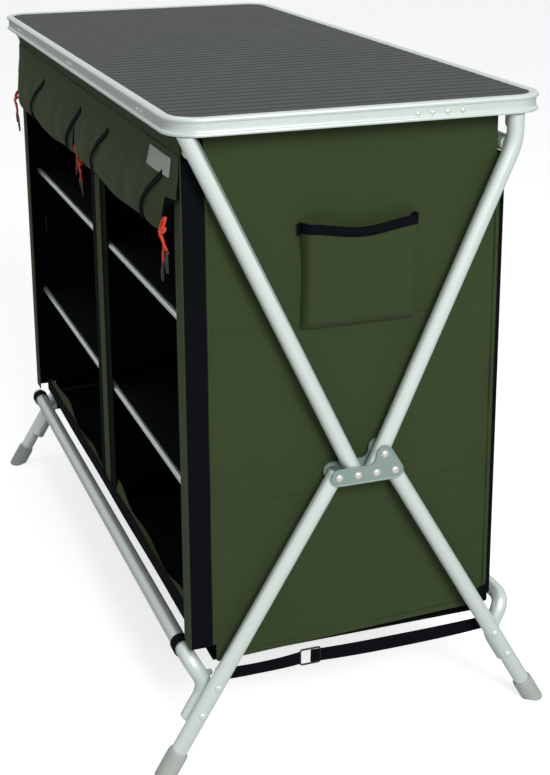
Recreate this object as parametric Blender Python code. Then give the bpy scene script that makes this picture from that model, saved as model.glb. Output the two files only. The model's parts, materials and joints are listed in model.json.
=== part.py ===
"""Camping cupboard: a folding aluminium frame, a ribbed table top and a fabric cupboard with shelves.

Units are metres, +Z is up. The origin is on the floor under the middle of the table.
+X points along the table and -Y is the open front with the rolled-up doors.
"""

import math

import bmesh
import bpy
from mathutils import Matrix, Vector

# Table
TABLE_LENGTH = 1.08
TABLE_DEPTH = 0.485
TABLE_HEIGHT = 0.85
RIM_HEIGHT = 0.023
RIM_BEAD = 0.012
RIM_BEAD_HEIGHT = 0.006
RIM_RECESS = 0.003
RIM_WEB = 0.002
RIM_LIP_HEIGHT = 0.003
RIM_CORNER_RADIUS = 0.045
TOP_DROP = 0.0015
TOP_THICKNESS = 0.0025
TOP_EDGE_CLEARANCE = 0.0005
TOP_LEDGE_DEPTH = 0.0008
RIB_PITCH = 0.0235
GROOVE_WIDTH = 0.0035
GROOVE_DEPTH = 0.0012
BRACE_WIDTH = 0.030
BRACE_HEIGHT = 0.014
BRACE_WALL = 0.0015
BRACE_FROM_END = 0.142

# Frame tubes
TUBE_RADIUS = 0.011
TUBE_WALL = 0.0013
TUBE_SIDES = 12
TUBE_INSET = 0.018
PIVOT_HEIGHT = 0.381
PIVOT_MIDDLE_Y = 0.0055
PIVOT_PITCH = 0.0253
FRONT_TUBE_INSET = 0.0251
BACK_TUBE_INSET = 0.0392
BACK_BEND_BELOW_TOP = 0.060
BACK_BEND_RADIUS = 0.075
TUBE_TOP_BELOW_RIM = 0.0015
TUBE_END_BEYOND_PIVOT = 0.0038
BAR_BELOW_TOP = 0.044
BACK_BAR_BELOW_TOP = 0.065
FOOT_OUTSIDE_TABLE = 0.0195
FOOT_CAP_RADIUS = 0.0135
FOOT_CAP_LENGTH = 0.032
FOOT_CAP_SOLE = 0.004
FOOT_END_SHARE = 0.7

# Hub
PLATE_THICKNESS = 0.0025
PLATE_CLEARANCE = 0.0008
PLATE_END_RADIUS = 0.0115
PLATE_FILLET_RADIUS = 0.010
UPPER_RIVET_ALONG_TUBE = 0.0262
RIVET_RADIUS = 0.003
RIVET_HEAD_RADIUS = 0.005
RIVET_HEAD_HEIGHT = 0.0018
RIVET_HOLE_CLEARANCE = 0.0003

# Crossbars between the lower legs
CROSSBAR_HEIGHT = 0.147
CROSSBAR_CLEARANCE = 0.0045
CROSSBAR_BEND_RADIUS = 0.034
ARM_GAP = 0.0005
ARM_END_HEIGHT = 0.062
ARM_STRAIGHT_HEIGHT = 0.105
LEG_RIVET_HEIGHTS = (0.1155, 0.0800)

# Table hinge
HINGE_BELOW_TOP = 0.038
BRACKET_LENGTH = 0.1385
BRACKET_THICKNESS = 0.002
BRACKET_HEIGHT = 0.0165
TAB_CLEARANCE = 0.0008
TAB_MARGIN = 0.0045
HINGE_PIN_RADIUS = 0.003
PLUG_DEPTH = 0.0188
PLUG_CLEARANCE = 0.0007
HOOK_WIDTH = 0.026
HOOK_LIP = 0.002
HOOK_FROM_END = 0.240

# Fabric cupboard
CLOTH = 0.002
FIT = 0.0003
LOOSE_FIT = 0.0005
PANEL_BEHIND_TUBE = 0.0172
PANEL_FRONT_INSET = 0.0495
PANEL_BACK_INSET = 0.0465
HEADER_CLEARANCE = 0.0008
FLOOR_HEIGHT = 0.1425
FLOOR_THICKNESS = 0.004
PANEL_BOTTOM_FRONT = 0.139
PANEL_BOTTOM_BACK = 0.153
PANEL_TOP_BELOW_RIM = 0.0015
SHELVES_BELOW_TOP = (0.498, 0.273)
SHELF_THICKNESS = 0.004
SHELF_BAR_RADIUS = 0.0045
SHELF_BAR_WALL = 0.001
SHELF_BAR_DROP = 0.0055
HEADER_BELOW_TOP = 0.1025
STRIP_WIDTH = 0.029
MIDDLE_STRIP_WIDTH = 0.090
HEM_HEIGHT = 0.024
STRIP_CLEARANCE = 0.0045
ROLL_HEIGHT = 0.048
ROLL_DEPTH = 0.023
ROLL_GAP = 0.016
ROLL_SAG_SHARE = 0.02
TIE_WIDTH = 0.012
TIE_THICKNESS = 0.0013
TIE_BELOW_TOP = 0.078
TIE_PLACES = (-0.312, -0.046, 0.125, 0.393)
TIE_LEAN = 0.062
TIE_START = -40
TIE_END = -190
TIE_GAP = 0.0009
FOLD_DEPTH = 0.0035
FOLDS_ACROSS = 1.6
FOLD_SLANT = 0.8
ROWS_IN_BAND = 5

# Pocket on the right-hand side panel
POCKET_FRONT_Y = -0.0735
POCKET_BACK_Y = 0.078
POCKET_BELOW_TOP = 0.144
POCKET_HEIGHT = 0.134
POCKET_DEPTH = 0.020
POCKET_WALL = 0.0016

# Straps between the lower frames
STRAP_HEIGHT = 0.117
STRAP_WIDTH = 0.019
STRAP_THICKNESS = 0.002
RING_Y = -0.058
RING_WIDTH = 0.030
RING_WIRE = 0.0025
STRAP_LAP = 0.0011

OVERRUN = 0.004

# Worked out from the sizes above
RIM_BOTTOM = TABLE_HEIGHT - RIM_HEIGHT
TUBE_X = TABLE_LENGTH / 2 - TUBE_INSET
FRONT_TUBE_TOP_Y = FRONT_TUBE_INSET - TABLE_DEPTH / 2
BACK_TUBE_TOP_Y = TABLE_DEPTH / 2 - BACK_TUBE_INSET
BACK_BEND_HEIGHT = TABLE_HEIGHT - BACK_BEND_BELOW_TOP
BAR_HEIGHT = TABLE_HEIGHT - BAR_BELOW_TOP
BACK_BAR_HEIGHT = TABLE_HEIGHT - BACK_BAR_BELOW_TOP
PANEL_FRONT_Y = PANEL_FRONT_INSET - TABLE_DEPTH / 2
PANEL_BACK_Y = TABLE_DEPTH / 2 - PANEL_BACK_INSET
FOOT_REACH = TABLE_DEPTH / 2 + FOOT_OUTSIDE_TABLE
SHELF_HEIGHTS = [TABLE_HEIGHT - below for below in SHELVES_BELOW_TOP]
HEADER_BOTTOM = TABLE_HEIGHT - HEADER_BELOW_TOP
TIE_TOP = TABLE_HEIGHT - TIE_BELOW_TOP
POCKET_TOP = TABLE_HEIGHT - POCKET_BELOW_TOP
POCKET_BOTTOM = POCKET_TOP - POCKET_HEIGHT
PIVOTS_Y = [PIVOT_MIDDLE_Y + (place - 1.5) * PIVOT_PITCH for place in range(4)]
LEG_FRONT_Y, TUBE_FRONT_Y, TUBE_BACK_Y, LEG_BACK_Y = PIVOTS_Y
TUBE_TOP = RIM_BOTTOM - TUBE_TOP_BELOW_RIM
FRONT_BAR_SHARE = (BAR_HEIGHT - PIVOT_HEIGHT) / (TUBE_TOP - PIVOT_HEIGHT)
FRONT_BAR_Y = TUBE_FRONT_Y + (FRONT_TUBE_TOP_Y - TUBE_FRONT_Y) * FRONT_BAR_SHARE
FRONT_FACE_Y = FRONT_BAR_Y - TUBE_RADIUS - HEADER_CLEARANCE - CLOTH
RIVET_HOLE_RADIUS = RIVET_RADIUS + RIVET_HOLE_CLEARANCE
PLATE_INNER = TUBE_RADIUS + PLATE_CLEARANCE
PLATE_OUTER = PLATE_INNER + PLATE_THICKNESS
PANEL_X = TUBE_X - PANEL_BEHIND_TUBE
PANEL_TOP = RIM_BOTTOM - PANEL_TOP_BELOW_RIM
ARM_X = TUBE_X - 2 * TUBE_RADIUS - ARM_GAP
HINGE_Y = BACK_TUBE_TOP_Y
HINGE_Z = TABLE_HEIGHT - HINGE_BELOW_TOP
TOP_SURFACE = TABLE_HEIGHT - TOP_DROP
TOP_UNDERSIDE = TOP_SURFACE - TOP_THICKNESS
STRIP_BOTTOM = CROSSBAR_HEIGHT + TUBE_RADIUS + STRIP_CLEARANCE
ROLL_MIDDLE_Z = HEADER_BOTTOM - LOOSE_FIT - ROLL_HEIGHT / 2
ROLL_MIDDLE_Y = FRONT_FACE_Y - ROLL_DEPTH / 2 + CLOTH
STRIP_INNER_X = PANEL_X - STRIP_WIDTH

GREEN = (0.050, 0.072, 0.034, 1)
BLACK = (0.006, 0.007, 0.010, 1)
PALE_ALUMINIUM = (0.66, 0.74, 0.69, 1)
PLATE_GREY = (0.28, 0.36, 0.33, 1)
PLUG_GREY = (0.10, 0.13, 0.15, 1)
SLAT_GREY = (0.055, 0.062, 0.056, 1)
FOOT_GREY = (0.55, 0.58, 0.55, 1)

MATERIALS = {}


def clear_scene():
    for old in list(bpy.data.objects):
        bpy.data.objects.remove(old, do_unlink=True)


def material(name, colour, roughness, metallic=0.0):
    if name not in MATERIALS:
        made = bpy.data.materials.new(name)
        made.use_nodes = True
        shader = made.node_tree.nodes["Principled BSDF"]
        shader.inputs["Base Color"].default_value = colour
        shader.inputs["Roughness"].default_value = roughness
        shader.inputs["Metallic"].default_value = metallic
        MATERIALS[name] = made
    return MATERIALS[name]


def aluminium():
    return material("satin_aluminium", PALE_ALUMINIUM, 0.35, 0.6)


def green_cloth():
    return material("green_cloth", GREEN, 0.85)


def black_webbing():
    return material("black_webbing", BLACK, 0.7)


def finish(name, mesh_data, surface, smooth=True):
    """Turns a bmesh into a named object with outward faces and one material."""
    bmesh.ops.recalc_face_normals(mesh_data, faces=mesh_data.faces)
    mesh = bpy.data.meshes.new(name)
    mesh_data.to_mesh(mesh)
    mesh_data.free()
    if smooth:
        mesh.shade_smooth()
        mesh.set_sharp_from_angle(angle=math.radians(35))
    made = bpy.data.objects.new(name, mesh)
    made.data.materials.append(surface)
    bpy.context.scene.collection.objects.link(made)
    return made


def add_box(mesh_data, low, high):
    low, high = Vector(low), Vector(high)
    middle, size = (low + high) / 2, high - low
    place = Matrix.Translation(middle) @ Matrix.Diagonal((*size, 1))
    bmesh.ops.create_cube(mesh_data, size=1, matrix=place)


def add_loops(mesh_data, rings, closed_path=False, capped=True):
    """Skins a list of closed rings of points, with flat ends unless the path is closed."""
    made = [[mesh_data.verts.new(point) for point in ring] for ring in rings]
    pairs = list(zip(made, made[1:]))
    if closed_path:
        pairs.append((made[-1], made[0]))
    for here, there in pairs:
        count = len(here)
        for side in range(count):
            after = (side + 1) % count
            mesh_data.faces.new((here[side], here[after], there[after], there[side]))
    if capped and not closed_path:
        mesh_data.faces.new(made[0])
        mesh_data.faces.new(list(reversed(made[-1])))
    return made


def add_turned(mesh_data, profile, centre, axis, sides):
    """A closed turned solid. The profile holds (distance along the axis, radius) pairs between its two ends."""
    axis = Vector(axis).normalized()
    across = axis.orthogonal().normalized()
    up = axis.cross(across)
    rings = []
    for along, radius in profile:
        ring = []
        for side in range(sides):
            angle = 2 * math.pi * (side + 0.5) / sides
            outward = across * math.cos(angle) + up * math.sin(angle)
            ring.append(Vector(centre) + axis * along + outward * radius)
        rings.append(ring)
    add_loops(mesh_data, rings)


def add_prism(mesh_data, outline, start, end):
    """An outline of (y, z) points, extruded along X."""
    add_loops(mesh_data, [[(x, y, z) for y, z in outline] for x in (start, end)])


def rounded_path(points, radius, steps):
    """The points of a path whose inner corners are arcs of the given radius."""
    points = [Vector(point) for point in points]
    path = [points[0]]
    for before, corner, after in zip(points, points[1:], points[2:]):
        incoming = (corner - before).normalized()
        outgoing = (after - corner).normalized()
        turn = incoming.angle(outgoing)
        reach = radius * math.tan(turn / 2)
        bisector = (outgoing - incoming).normalized()
        centre = corner + bisector * (radius / math.cos(turn / 2))
        start = corner - incoming * reach - centre
        axis = incoming.cross(outgoing).normalized()
        for step in range(steps + 1):
            spun = Matrix.Rotation(turn * step / steps, 3, axis) @ start
            path.append(centre + spun)
    path.append(points[-1])
    return path


def tube_rings(path, radius, sides):
    """Rings square to the path, carried along it without twisting."""
    directions = []
    for place, point in enumerate(path):
        before = path[max(place - 1, 0)]
        after = path[min(place + 1, len(path) - 1)]
        directions.append((after - before).normalized())
    across = directions[0].orthogonal().normalized()
    rings = []
    for point, direction in zip(path, directions):
        across = (across - direction * across.dot(direction)).normalized()
        up = direction.cross(across)
        ring = []
        for side in range(sides):
            angle = 2 * math.pi * side / sides
            ring.append(point + (across * math.cos(angle) + up * math.sin(angle)) * radius)
        rings.append(ring)
    return rings


def add_pipe(mesh_data, path, radius, wall, sides=TUBE_SIDES):
    """A hollow tube along a path, open at both ends."""
    outer = add_loops(mesh_data, tube_rings(path, radius, sides), capped=False)
    inner = add_loops(mesh_data, tube_rings(path, radius - wall, sides), capped=False)
    for outside, inside in ((outer[0], inner[0]), (outer[-1], inner[-1])):
        for side in range(sides):
            after = (side + 1) % sides
            corners = (outside[side], outside[after], inside[after], inside[side])
            mesh_data.faces.new(corners)


def pipe(name, path, radius=TUBE_RADIUS, wall=TUBE_WALL, sides=TUBE_SIDES):
    mesh_data = bmesh.new()
    add_pipe(mesh_data, [Vector(point) for point in path], radius, wall, sides)
    return finish(name, mesh_data, aluminium())


def helper(name, mesh_data):
    made = finish(name, mesh_data, aluminium(), smooth=False)
    made.hide_render = True
    made.display_type = "WIRE"
    return made


def cut(target, cutter):
    boolean = target.modifiers.new("cut_" + cutter.name, "BOOLEAN")
    boolean.operation = "DIFFERENCE"
    boolean.object = cutter


def drill(target, centres, radius, length, axis=(1, 0, 0), sides=10):
    """Round holes through a piece, centred on the given points."""
    mesh_data = bmesh.new()
    for centre in centres:
        ends = ((-length / 2, radius), (length / 2, radius))
        add_turned(mesh_data, ends, centre, axis, sides)
    cut(target, helper("holes_" + target.name, mesh_data))


def add_rivet(mesh_data, centre, axis, near, far):
    """A rivet along its axis, with a loose head at distance near before it and a fixed one at far."""
    tip_radius = RIVET_HEAD_RADIUS * 0.6
    profile = [
        (-near - RIVET_HEAD_HEIGHT, tip_radius),
        (-near - RIVET_HEAD_HEIGHT * 0.4, RIVET_HEAD_RADIUS),
        (-near, RIVET_HEAD_RADIUS),
        (-near, RIVET_RADIUS),
        (far - RIVET_HEAD_HEIGHT * 0.5, RIVET_RADIUS),
        (far - RIVET_HEAD_HEIGHT * 0.5, RIVET_HEAD_RADIUS),
        (far + RIVET_HEAD_HEIGHT * 0.4, RIVET_HEAD_RADIUS),
        (far + RIVET_HEAD_HEIGHT, tip_radius),
    ]
    add_turned(mesh_data, profile, centre, axis, 8)


def sides():
    return (("left", -1), ("right", 1))


# Table


def rim_profile():
    """The rim's section as (distance out from the web's inner face, height above the rim's bottom)."""
    web_out = RIM_WEB
    lip_out = RIM_WEB + RIM_RECESS
    bead_low = RIM_HEIGHT - RIM_BEAD_HEIGHT
    bead_in = lip_out - RIM_BEAD
    return [
        (0, 0),
        (lip_out, 0),
        (lip_out, RIM_LIP_HEIGHT / 2),
        (web_out, RIM_LIP_HEIGHT),
        (web_out, bead_low - RIM_RECESS / 2),
        (lip_out, bead_low),
        (lip_out, RIM_HEIGHT - RIM_RECESS / 2),
        (lip_out - RIM_RECESS / 2, RIM_HEIGHT),
        (bead_in, RIM_HEIGHT),
        (bead_in, RIM_HEIGHT - RIM_WEB / 2),
        (0, RIM_HEIGHT - RIM_WEB / 2),
    ]


def rectangle_corners(half_x, half_y, radius, steps):
    """Points round a rectangle with arcs at its corners, each with its outward direction."""
    points = []
    quarter_turns = ((1, 1, 0), (-1, 1, 90), (-1, -1, 180), (1, -1, 270))
    for across, along, start in quarter_turns:
        centre = Vector((across * (half_x - radius), along * (half_y - radius), 0))
        for step in range(steps + 1):
            angle = math.radians(start + 90 * step / steps)
            outward = Vector((math.cos(angle), math.sin(angle), 0))
            points.append((centre + outward * radius, outward))
    return points


def web_distance():
    """From the table's outer edge to the inner face of the rim's web."""
    return RIM_WEB + RIM_RECESS


def make_rim():
    half_x = TABLE_LENGTH / 2 - web_distance()
    half_y = TABLE_DEPTH / 2 - web_distance()
    mesh_data = bmesh.new()
    rings = []
    for point, outward in rectangle_corners(half_x, half_y, RIM_CORNER_RADIUS, 5):
        ring = [point + outward * out + Vector((0, 0, RIM_BOTTOM + up)) for out, up in rim_profile()]
        rings.append(ring)
    add_loops(mesh_data, rings, closed_path=True)
    finish("table_rim", mesh_data, aluminium())


def make_top():
    """One ribbed panel: flat ribs that run from front to back with grooves between them."""
    half_x = TABLE_LENGTH / 2 - web_distance() - TOP_EDGE_CLEARANCE
    half_y = TABLE_DEPTH / 2 - web_distance() - TOP_EDGE_CLEARANCE
    open_x = TABLE_LENGTH / 2 - RIM_BEAD - GROOVE_WIDTH
    ribs = 2 * int((open_x - RIB_PITCH / 2) / RIB_PITCH) + 1
    far = half_x + OVERRUN
    outline = [(-far, TOP_SURFACE)]
    for rib in range(ribs + 1):
        x = (rib - ribs / 2) * RIB_PITCH
        outline += [
            (x - GROOVE_WIDTH / 2, TOP_SURFACE),
            (x - GROOVE_WIDTH / 4, TOP_SURFACE - GROOVE_DEPTH),
            (x + GROOVE_WIDTH / 4, TOP_SURFACE - GROOVE_DEPTH),
            (x + GROOVE_WIDTH / 2, TOP_SURFACE),
        ]
    outline += [(far, TOP_SURFACE), (far, TOP_UNDERSIDE), (-far, TOP_UNDERSIDE)]
    mesh_data, edge = bmesh.new(), bmesh.new()
    reach = half_y + OVERRUN
    add_loops(mesh_data, [[(x, y, z) for x, z in outline] for y in (-reach, reach)])
    panel = finish("table_top", mesh_data, material("dark_slats", SLAT_GREY, 0.45, 0.3), False)
    # The ribs end inside the rim's bead, and a thin ledge of the panel runs on under it
    under = RIM_BEAD - web_distance()
    ledge = TOP_SURFACE - TOP_LEDGE_DEPTH
    steps = ((0, TOP_UNDERSIDE - OVERRUN), (0, ledge), (under, ledge), (under, TOP_SURFACE + OVERRUN))
    loops = []
    for inwards, level in steps:
        corners = rectangle_corners(half_x - inwards, half_y - inwards, RIM_CORNER_RADIUS - inwards, 5)
        loops.append([point + Vector((0, 0, level)) for point, _ in corners])
    add_loops(edge, loops)
    trimmed = panel.modifiers.new("rounded_corners", "BOOLEAN")
    trimmed.operation = "INTERSECT"
    trimmed.object = helper("top_edge", edge)


def make_braces():
    """Three channels across the table, open underneath."""
    reach = TABLE_DEPTH / 2 - web_distance() - LOOSE_FIT
    top = TOP_UNDERSIDE - FIT
    half = BRACE_WIDTH / 2
    wall = BRACE_WALL
    low = top - BRACE_HEIGHT
    outline = [(-half, low), (-half, top), (half, top), (half, low)]
    outline += [(half - wall, low), (half - wall, top - wall), (wall - half, top - wall), (wall - half, low)]
    for place, name in zip((-1, 0, 1), ("left", "middle", "right")):
        x = place * (TABLE_LENGTH / 2 - BRACE_FROM_END)
        mesh_data = bmesh.new()
        add_loops(mesh_data, [[(x + across, y, z) for across, z in outline] for y in (-reach, reach)])
        finish("table_brace_" + name, mesh_data, aluminium(), False)


def make_hinge_brackets():
    """A plate on each end rail, with a tab down to the hinge pin beside the back tube's top."""
    rail = TABLE_LENGTH / 2 - web_distance() - FIT
    corner = TABLE_DEPTH / 2 - web_distance() - RIM_CORNER_RADIUS
    tab_x = TUBE_X - TUBE_RADIUS - TAB_CLEARANCE - BRACKET_THICKNESS
    tab_half = HINGE_PIN_RADIUS + TAB_MARGIN
    top = TOP_UNDERSIDE - FIT
    back = HINGE_Y + tab_half
    for name, side in sides():
        xs = sorted((side * (rail - BRACKET_THICKNESS), side * rail))
        low = (xs[0], corner - BRACKET_LENGTH, top - BRACKET_HEIGHT)
        bracket = box_piece("table_hinge_bracket_" + name, low, (xs[1], corner, top), aluminium())
        flange, tab, pin = bmesh.new(), bmesh.new(), bmesh.new()
        outline = [(tab_x, HINGE_Y - tab_half * 2), (rail, HINGE_Y - tab_half * 4), (rail, corner)]
        outline += [(TUBE_X, back), (tab_x, back)]
        outline = [(side * x, y) for x, y in outline]
        add_plate(flange, outline, top - BRACKET_THICKNESS, top)
        join(bracket, "flange", flange)
        outline = [(HINGE_Y - tab_half, top - BRACKET_THICKNESS / 2)]
        outline += arc_points((HINGE_Y, HINGE_Z), tab_half, 180, 360, 8)
        outline += [(HINGE_Y + tab_half, top - BRACKET_THICKNESS / 2)]
        add_prism(tab, outline, side * tab_x, side * (tab_x + BRACKET_THICKNESS))
        join(bracket, "tab", tab)
        start = tab_x + BRACKET_THICKNESS / 2
        ends = ((start, HINGE_PIN_RADIUS), (TUBE_X, HINGE_PIN_RADIUS))
        add_turned(pin, ends, (0, HINGE_Y, HINGE_Z), (side, 0, 0), 12)
        join(bracket, "pin", pin)


# Frames


def front_leg_y(z):
    return LEG_FRONT_Y + (-FOOT_REACH - LEG_FRONT_Y) * (PIVOT_HEIGHT - z) / PIVOT_HEIGHT


def back_leg_y(z):
    return LEG_BACK_Y + (FOOT_REACH - LEG_BACK_Y) * (PIVOT_HEIGHT - z) / PIVOT_HEIGHT


def beyond(start, through, distance):
    """The point that lies past start, on the line that comes to it from through."""
    start, through = Vector(start), Vector(through)
    return start + (start - through).normalized() * distance


def make_front_frame():
    for name, side in sides():
        x = side * TUBE_X
        top = Vector((x, FRONT_TUBE_TOP_Y, TUBE_TOP))
        pivot = Vector((x, TUBE_FRONT_Y, PIVOT_HEIGHT))
        rise = top - pivot
        end = top - rise.normalized() * TUBE_RADIUS * abs(rise.y / rise.z)
        path = [beyond(pivot, top, TUBE_END_BEYOND_PIVOT), end]
        tube = pipe("front_upper_tube_" + name, path)
        drill(tube, [pivot], RIVET_HOLE_RADIUS, TUBE_RADIUS * 3)
    reach = TUBE_X - TUBE_RADIUS - LOOSE_FIT
    y = FRONT_BAR_Y
    pipe("front_top_bar", [(-reach, y, BAR_HEIGHT), (reach, y, BAR_HEIGHT)])


def back_tube_path(x):
    pivot = Vector((x, TUBE_BACK_Y, PIVOT_HEIGHT))
    bend = Vector((x, BACK_TUBE_TOP_Y, BACK_BEND_HEIGHT))
    start = beyond(pivot, bend, TUBE_END_BEYOND_PIVOT)
    return rounded_path([start, bend, (x, BACK_TUBE_TOP_Y, TUBE_TOP)], BACK_BEND_RADIUS, 4)


def upper_rivet(x):
    pivot = Vector((x, TUBE_BACK_Y, PIVOT_HEIGHT))
    bend = Vector((x, BACK_TUBE_TOP_Y, BACK_BEND_HEIGHT))
    return pivot + (bend - pivot).normalized() * UPPER_RIVET_ALONG_TUBE


def make_back_tubes():
    for name, side in sides():
        x = side * TUBE_X
        tube = pipe("back_upper_tube_" + name, back_tube_path(x))
        pivot = (x, TUBE_BACK_Y, PIVOT_HEIGHT)
        drill(tube, [pivot, upper_rivet(x)], RIVET_HOLE_RADIUS, TUBE_RADIUS * 3)
        pin = bmesh.new()
        hole = HINGE_PIN_RADIUS + RIVET_HOLE_CLEARANCE
        ends = ((-TUBE_RADIUS - OVERRUN, hole), (0, hole))
        add_turned(pin, ends, (x, HINGE_Y, HINGE_Z), (side, 0, 0), 12)
        cut(tube, helper("pin_hole_" + name, pin))
    reach = TUBE_X - TUBE_RADIUS - LOOSE_FIT
    y = back_bar_y()
    pipe("back_top_bar", [(-reach, y, BACK_BAR_HEIGHT), (reach, y, BACK_BAR_HEIGHT)])


def make_tube_plugs():
    """A plug in each back tube's top, with a blind hole on its inner side for the hinge pin."""
    core = TUBE_RADIUS - TUBE_WALL - PLUG_CLEARANCE
    hole = HINGE_PIN_RADIUS + RIVET_HOLE_CLEARANCE
    for name, side in sides():
        x = side * TUBE_X
        mesh_data, bore = bmesh.new(), bmesh.new()
        profile = ((TUBE_TOP - PLUG_DEPTH, core), (TUBE_TOP, core))
        add_turned(mesh_data, profile, (x, BACK_TUBE_TOP_Y, 0), (0, 0, 1), TUBE_SIDES)
        plug = finish("tube_plug_" + name, mesh_data, material("plug_grey", PLUG_GREY, 0.5))
        ends = ((-TUBE_RADIUS, hole), (FIT, hole))
        add_turned(bore, ends, (x, HINGE_Y, HINGE_Z), (side, 0, 0), 12)
        cut(plug, helper("pin_bore_" + name, bore))


def arc_points(centre, radius, start, end, steps):
    """Points on an arc in the plane of Y and Z, with angles in degrees from +Y towards +Z."""
    found = []
    for step in range(steps + 1):
        angle = math.radians(start + (end - start) * step / steps)
        y = centre[0] + radius * math.cos(angle)
        found.append((y, centre[1] + radius * math.sin(angle)))
    return found


def hub_outline():
    """A long arm along the four pivots, with a rounded lobe up to the fifth rivet."""
    radius = PLATE_END_RADIUS
    lobe = (upper_rivet(0).y, upper_rivet(0).z)
    arm_top = PIVOT_HEIGHT + radius
    front = (LEG_FRONT_Y, PIVOT_HEIGHT)
    back = (LEG_BACK_Y, PIVOT_HEIGHT)
    outline = arc_points(front, radius, 90, 270, 8)
    toward = math.degrees(math.atan2(lobe[1] - back[1], lobe[0] - back[0]))
    outline += arc_points(back, radius, -90, toward - 90, 6)
    outline += arc_points(lobe, radius, toward - 90, 180, 7)
    fillet = PLATE_FILLET_RADIUS
    centre = (lobe[0] - radius - fillet, arm_top + fillet)
    outline += arc_points(centre, fillet, 0, -90, 4)
    return outline


def make_hub():
    """Two plates at each end of the cupboard. The rivets that the tubes turn on are fixed in the outer one."""
    surface = material("hub_grey", PLATE_GREY, 0.4, 0.5)
    for name, side in sides():
        places = [(side * TUBE_X, y, PIVOT_HEIGHT) for y in PIVOTS_Y] + [upper_rivet(side * TUBE_X)]
        outer, inner = bmesh.new(), bmesh.new()
        xs = sorted(side * (TUBE_X + offset) for offset in (PLATE_INNER, PLATE_OUTER))
        add_prism(outer, hub_outline(), xs[0], xs[1])
        plate = finish("hub_plate_outer_" + name, outer, surface, False)
        for number, centre in enumerate(places):
            rivet = bmesh.new()
            add_rivet(rivet, centre, (side, 0, 0), PLATE_OUTER + FIT, PLATE_OUTER)
            join(plate, "rivet_" + str(number + 1), rivet)
        xs = sorted(side * (TUBE_X - offset) for offset in (PLATE_INNER, PLATE_OUTER))
        add_prism(inner, hub_outline(), xs[0], xs[1])
        plate = finish("hub_plate_inner_" + name, inner, surface, False)
        drill(plate, places, RIVET_HOLE_RADIUS, PLATE_OUTER * 3)


def make_lower_frame(place, leg_y, outward):
    """Two legs with foot caps, and the crossbar whose arms are riveted inside them."""
    pivot_y = leg_y(PIVOT_HEIGHT)
    sole = FOOT_CAP_SOLE
    core = TUBE_RADIUS - TUBE_WALL / 2
    seat = TUBE_END_BEYOND_PIVOT
    for name, side in sides():
        x = side * TUBE_X
        pivot = Vector((x, pivot_y, PIVOT_HEIGHT))
        foot = Vector((x, leg_y(sole), sole))
        upward = (pivot - foot).normalized()
        path = [pivot + upward * seat, foot + upward * FOOT_END_SHARE * TUBE_RADIUS]
        leg = pipe("lower_" + place + "_leg_" + name, path)
        dome = bmesh.new()
        profile = [
            (seat * 0.7, core),
            (seat + FIT, core),
            (seat + FIT, TUBE_RADIUS),
            (seat + TUBE_RADIUS * 0.2, TUBE_RADIUS * 0.88),
            (seat + TUBE_RADIUS * 0.4, TUBE_RADIUS * 0.6),
        ]
        add_turned(dome, profile, pivot, upward, TUBE_SIDES)
        join(leg, "end_plug", dome)
        holes = [pivot] + [(x, leg_y(z), z) for z in LEG_RIVET_HEIGHTS]
        drill(leg, holes, RIVET_HOLE_RADIUS, TUBE_RADIUS * 3)
        make_foot_cap("lower_" + place + "_foot_" + name, foot, upward)
    make_crossbar(place, leg_y, outward)


def crossbar_y(outward):
    """The crossbars run just outside the cloth body, in front of it and behind it."""
    edge = PANEL_FRONT_Y if outward < 0 else PANEL_BACK_Y
    return edge + outward * (TUBE_RADIUS + CROSSBAR_CLEARANCE)


def make_crossbar(place, leg_y, outward):
    """A U-shaped tube with the four rivets that fix it to the legs."""
    bar = pipe("lower_" + place + "_crossbar", crossbar_path(leg_y, outward))
    middle_x = (TUBE_X + ARM_X) / 2
    half = 2 * TUBE_RADIUS + ARM_GAP / 2
    for name, side in sides():
        for number, z in enumerate(LEG_RIVET_HEIGHTS):
            rivet = bmesh.new()
            centre = (side * middle_x, leg_y(z), z)
            add_rivet(rivet, centre, (-side, 0, 0), half + FIT, half)
            join(bar, "rivet_" + name + "_" + str(number + 1), rivet)


# Fabric cupboard


def shares(count):
    return [step / count for step in range(count + 1)]


def side_fold(across, band_share, band):
    """How far the side panel is drawn in: broad slanting folds that fade out at the seams and edges."""
    window = math.sin(math.pi * band_share) * math.sin(math.pi * across)
    slant = math.sin(2 * math.pi * (FOLDS_ACROSS * across + FOLD_SLANT * (band + band_share)))
    return FOLD_DEPTH * window * (0.5 + 0.5 * slant)


def panel_low(y):
    if y < PANEL_FRONT_Y + TUBE_RADIUS / 2:
        return STRIP_BOTTOM
    share = (y - PANEL_FRONT_Y) / (PANEL_BACK_Y - PANEL_FRONT_Y)
    return PANEL_BOTTOM_FRONT + (PANEL_BOTTOM_BACK - PANEL_BOTTOM_FRONT) * share


def panel_high(y):
    return PANEL_TOP if y < back_notch_y() else below_back_bar() - LOOSE_FIT


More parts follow.
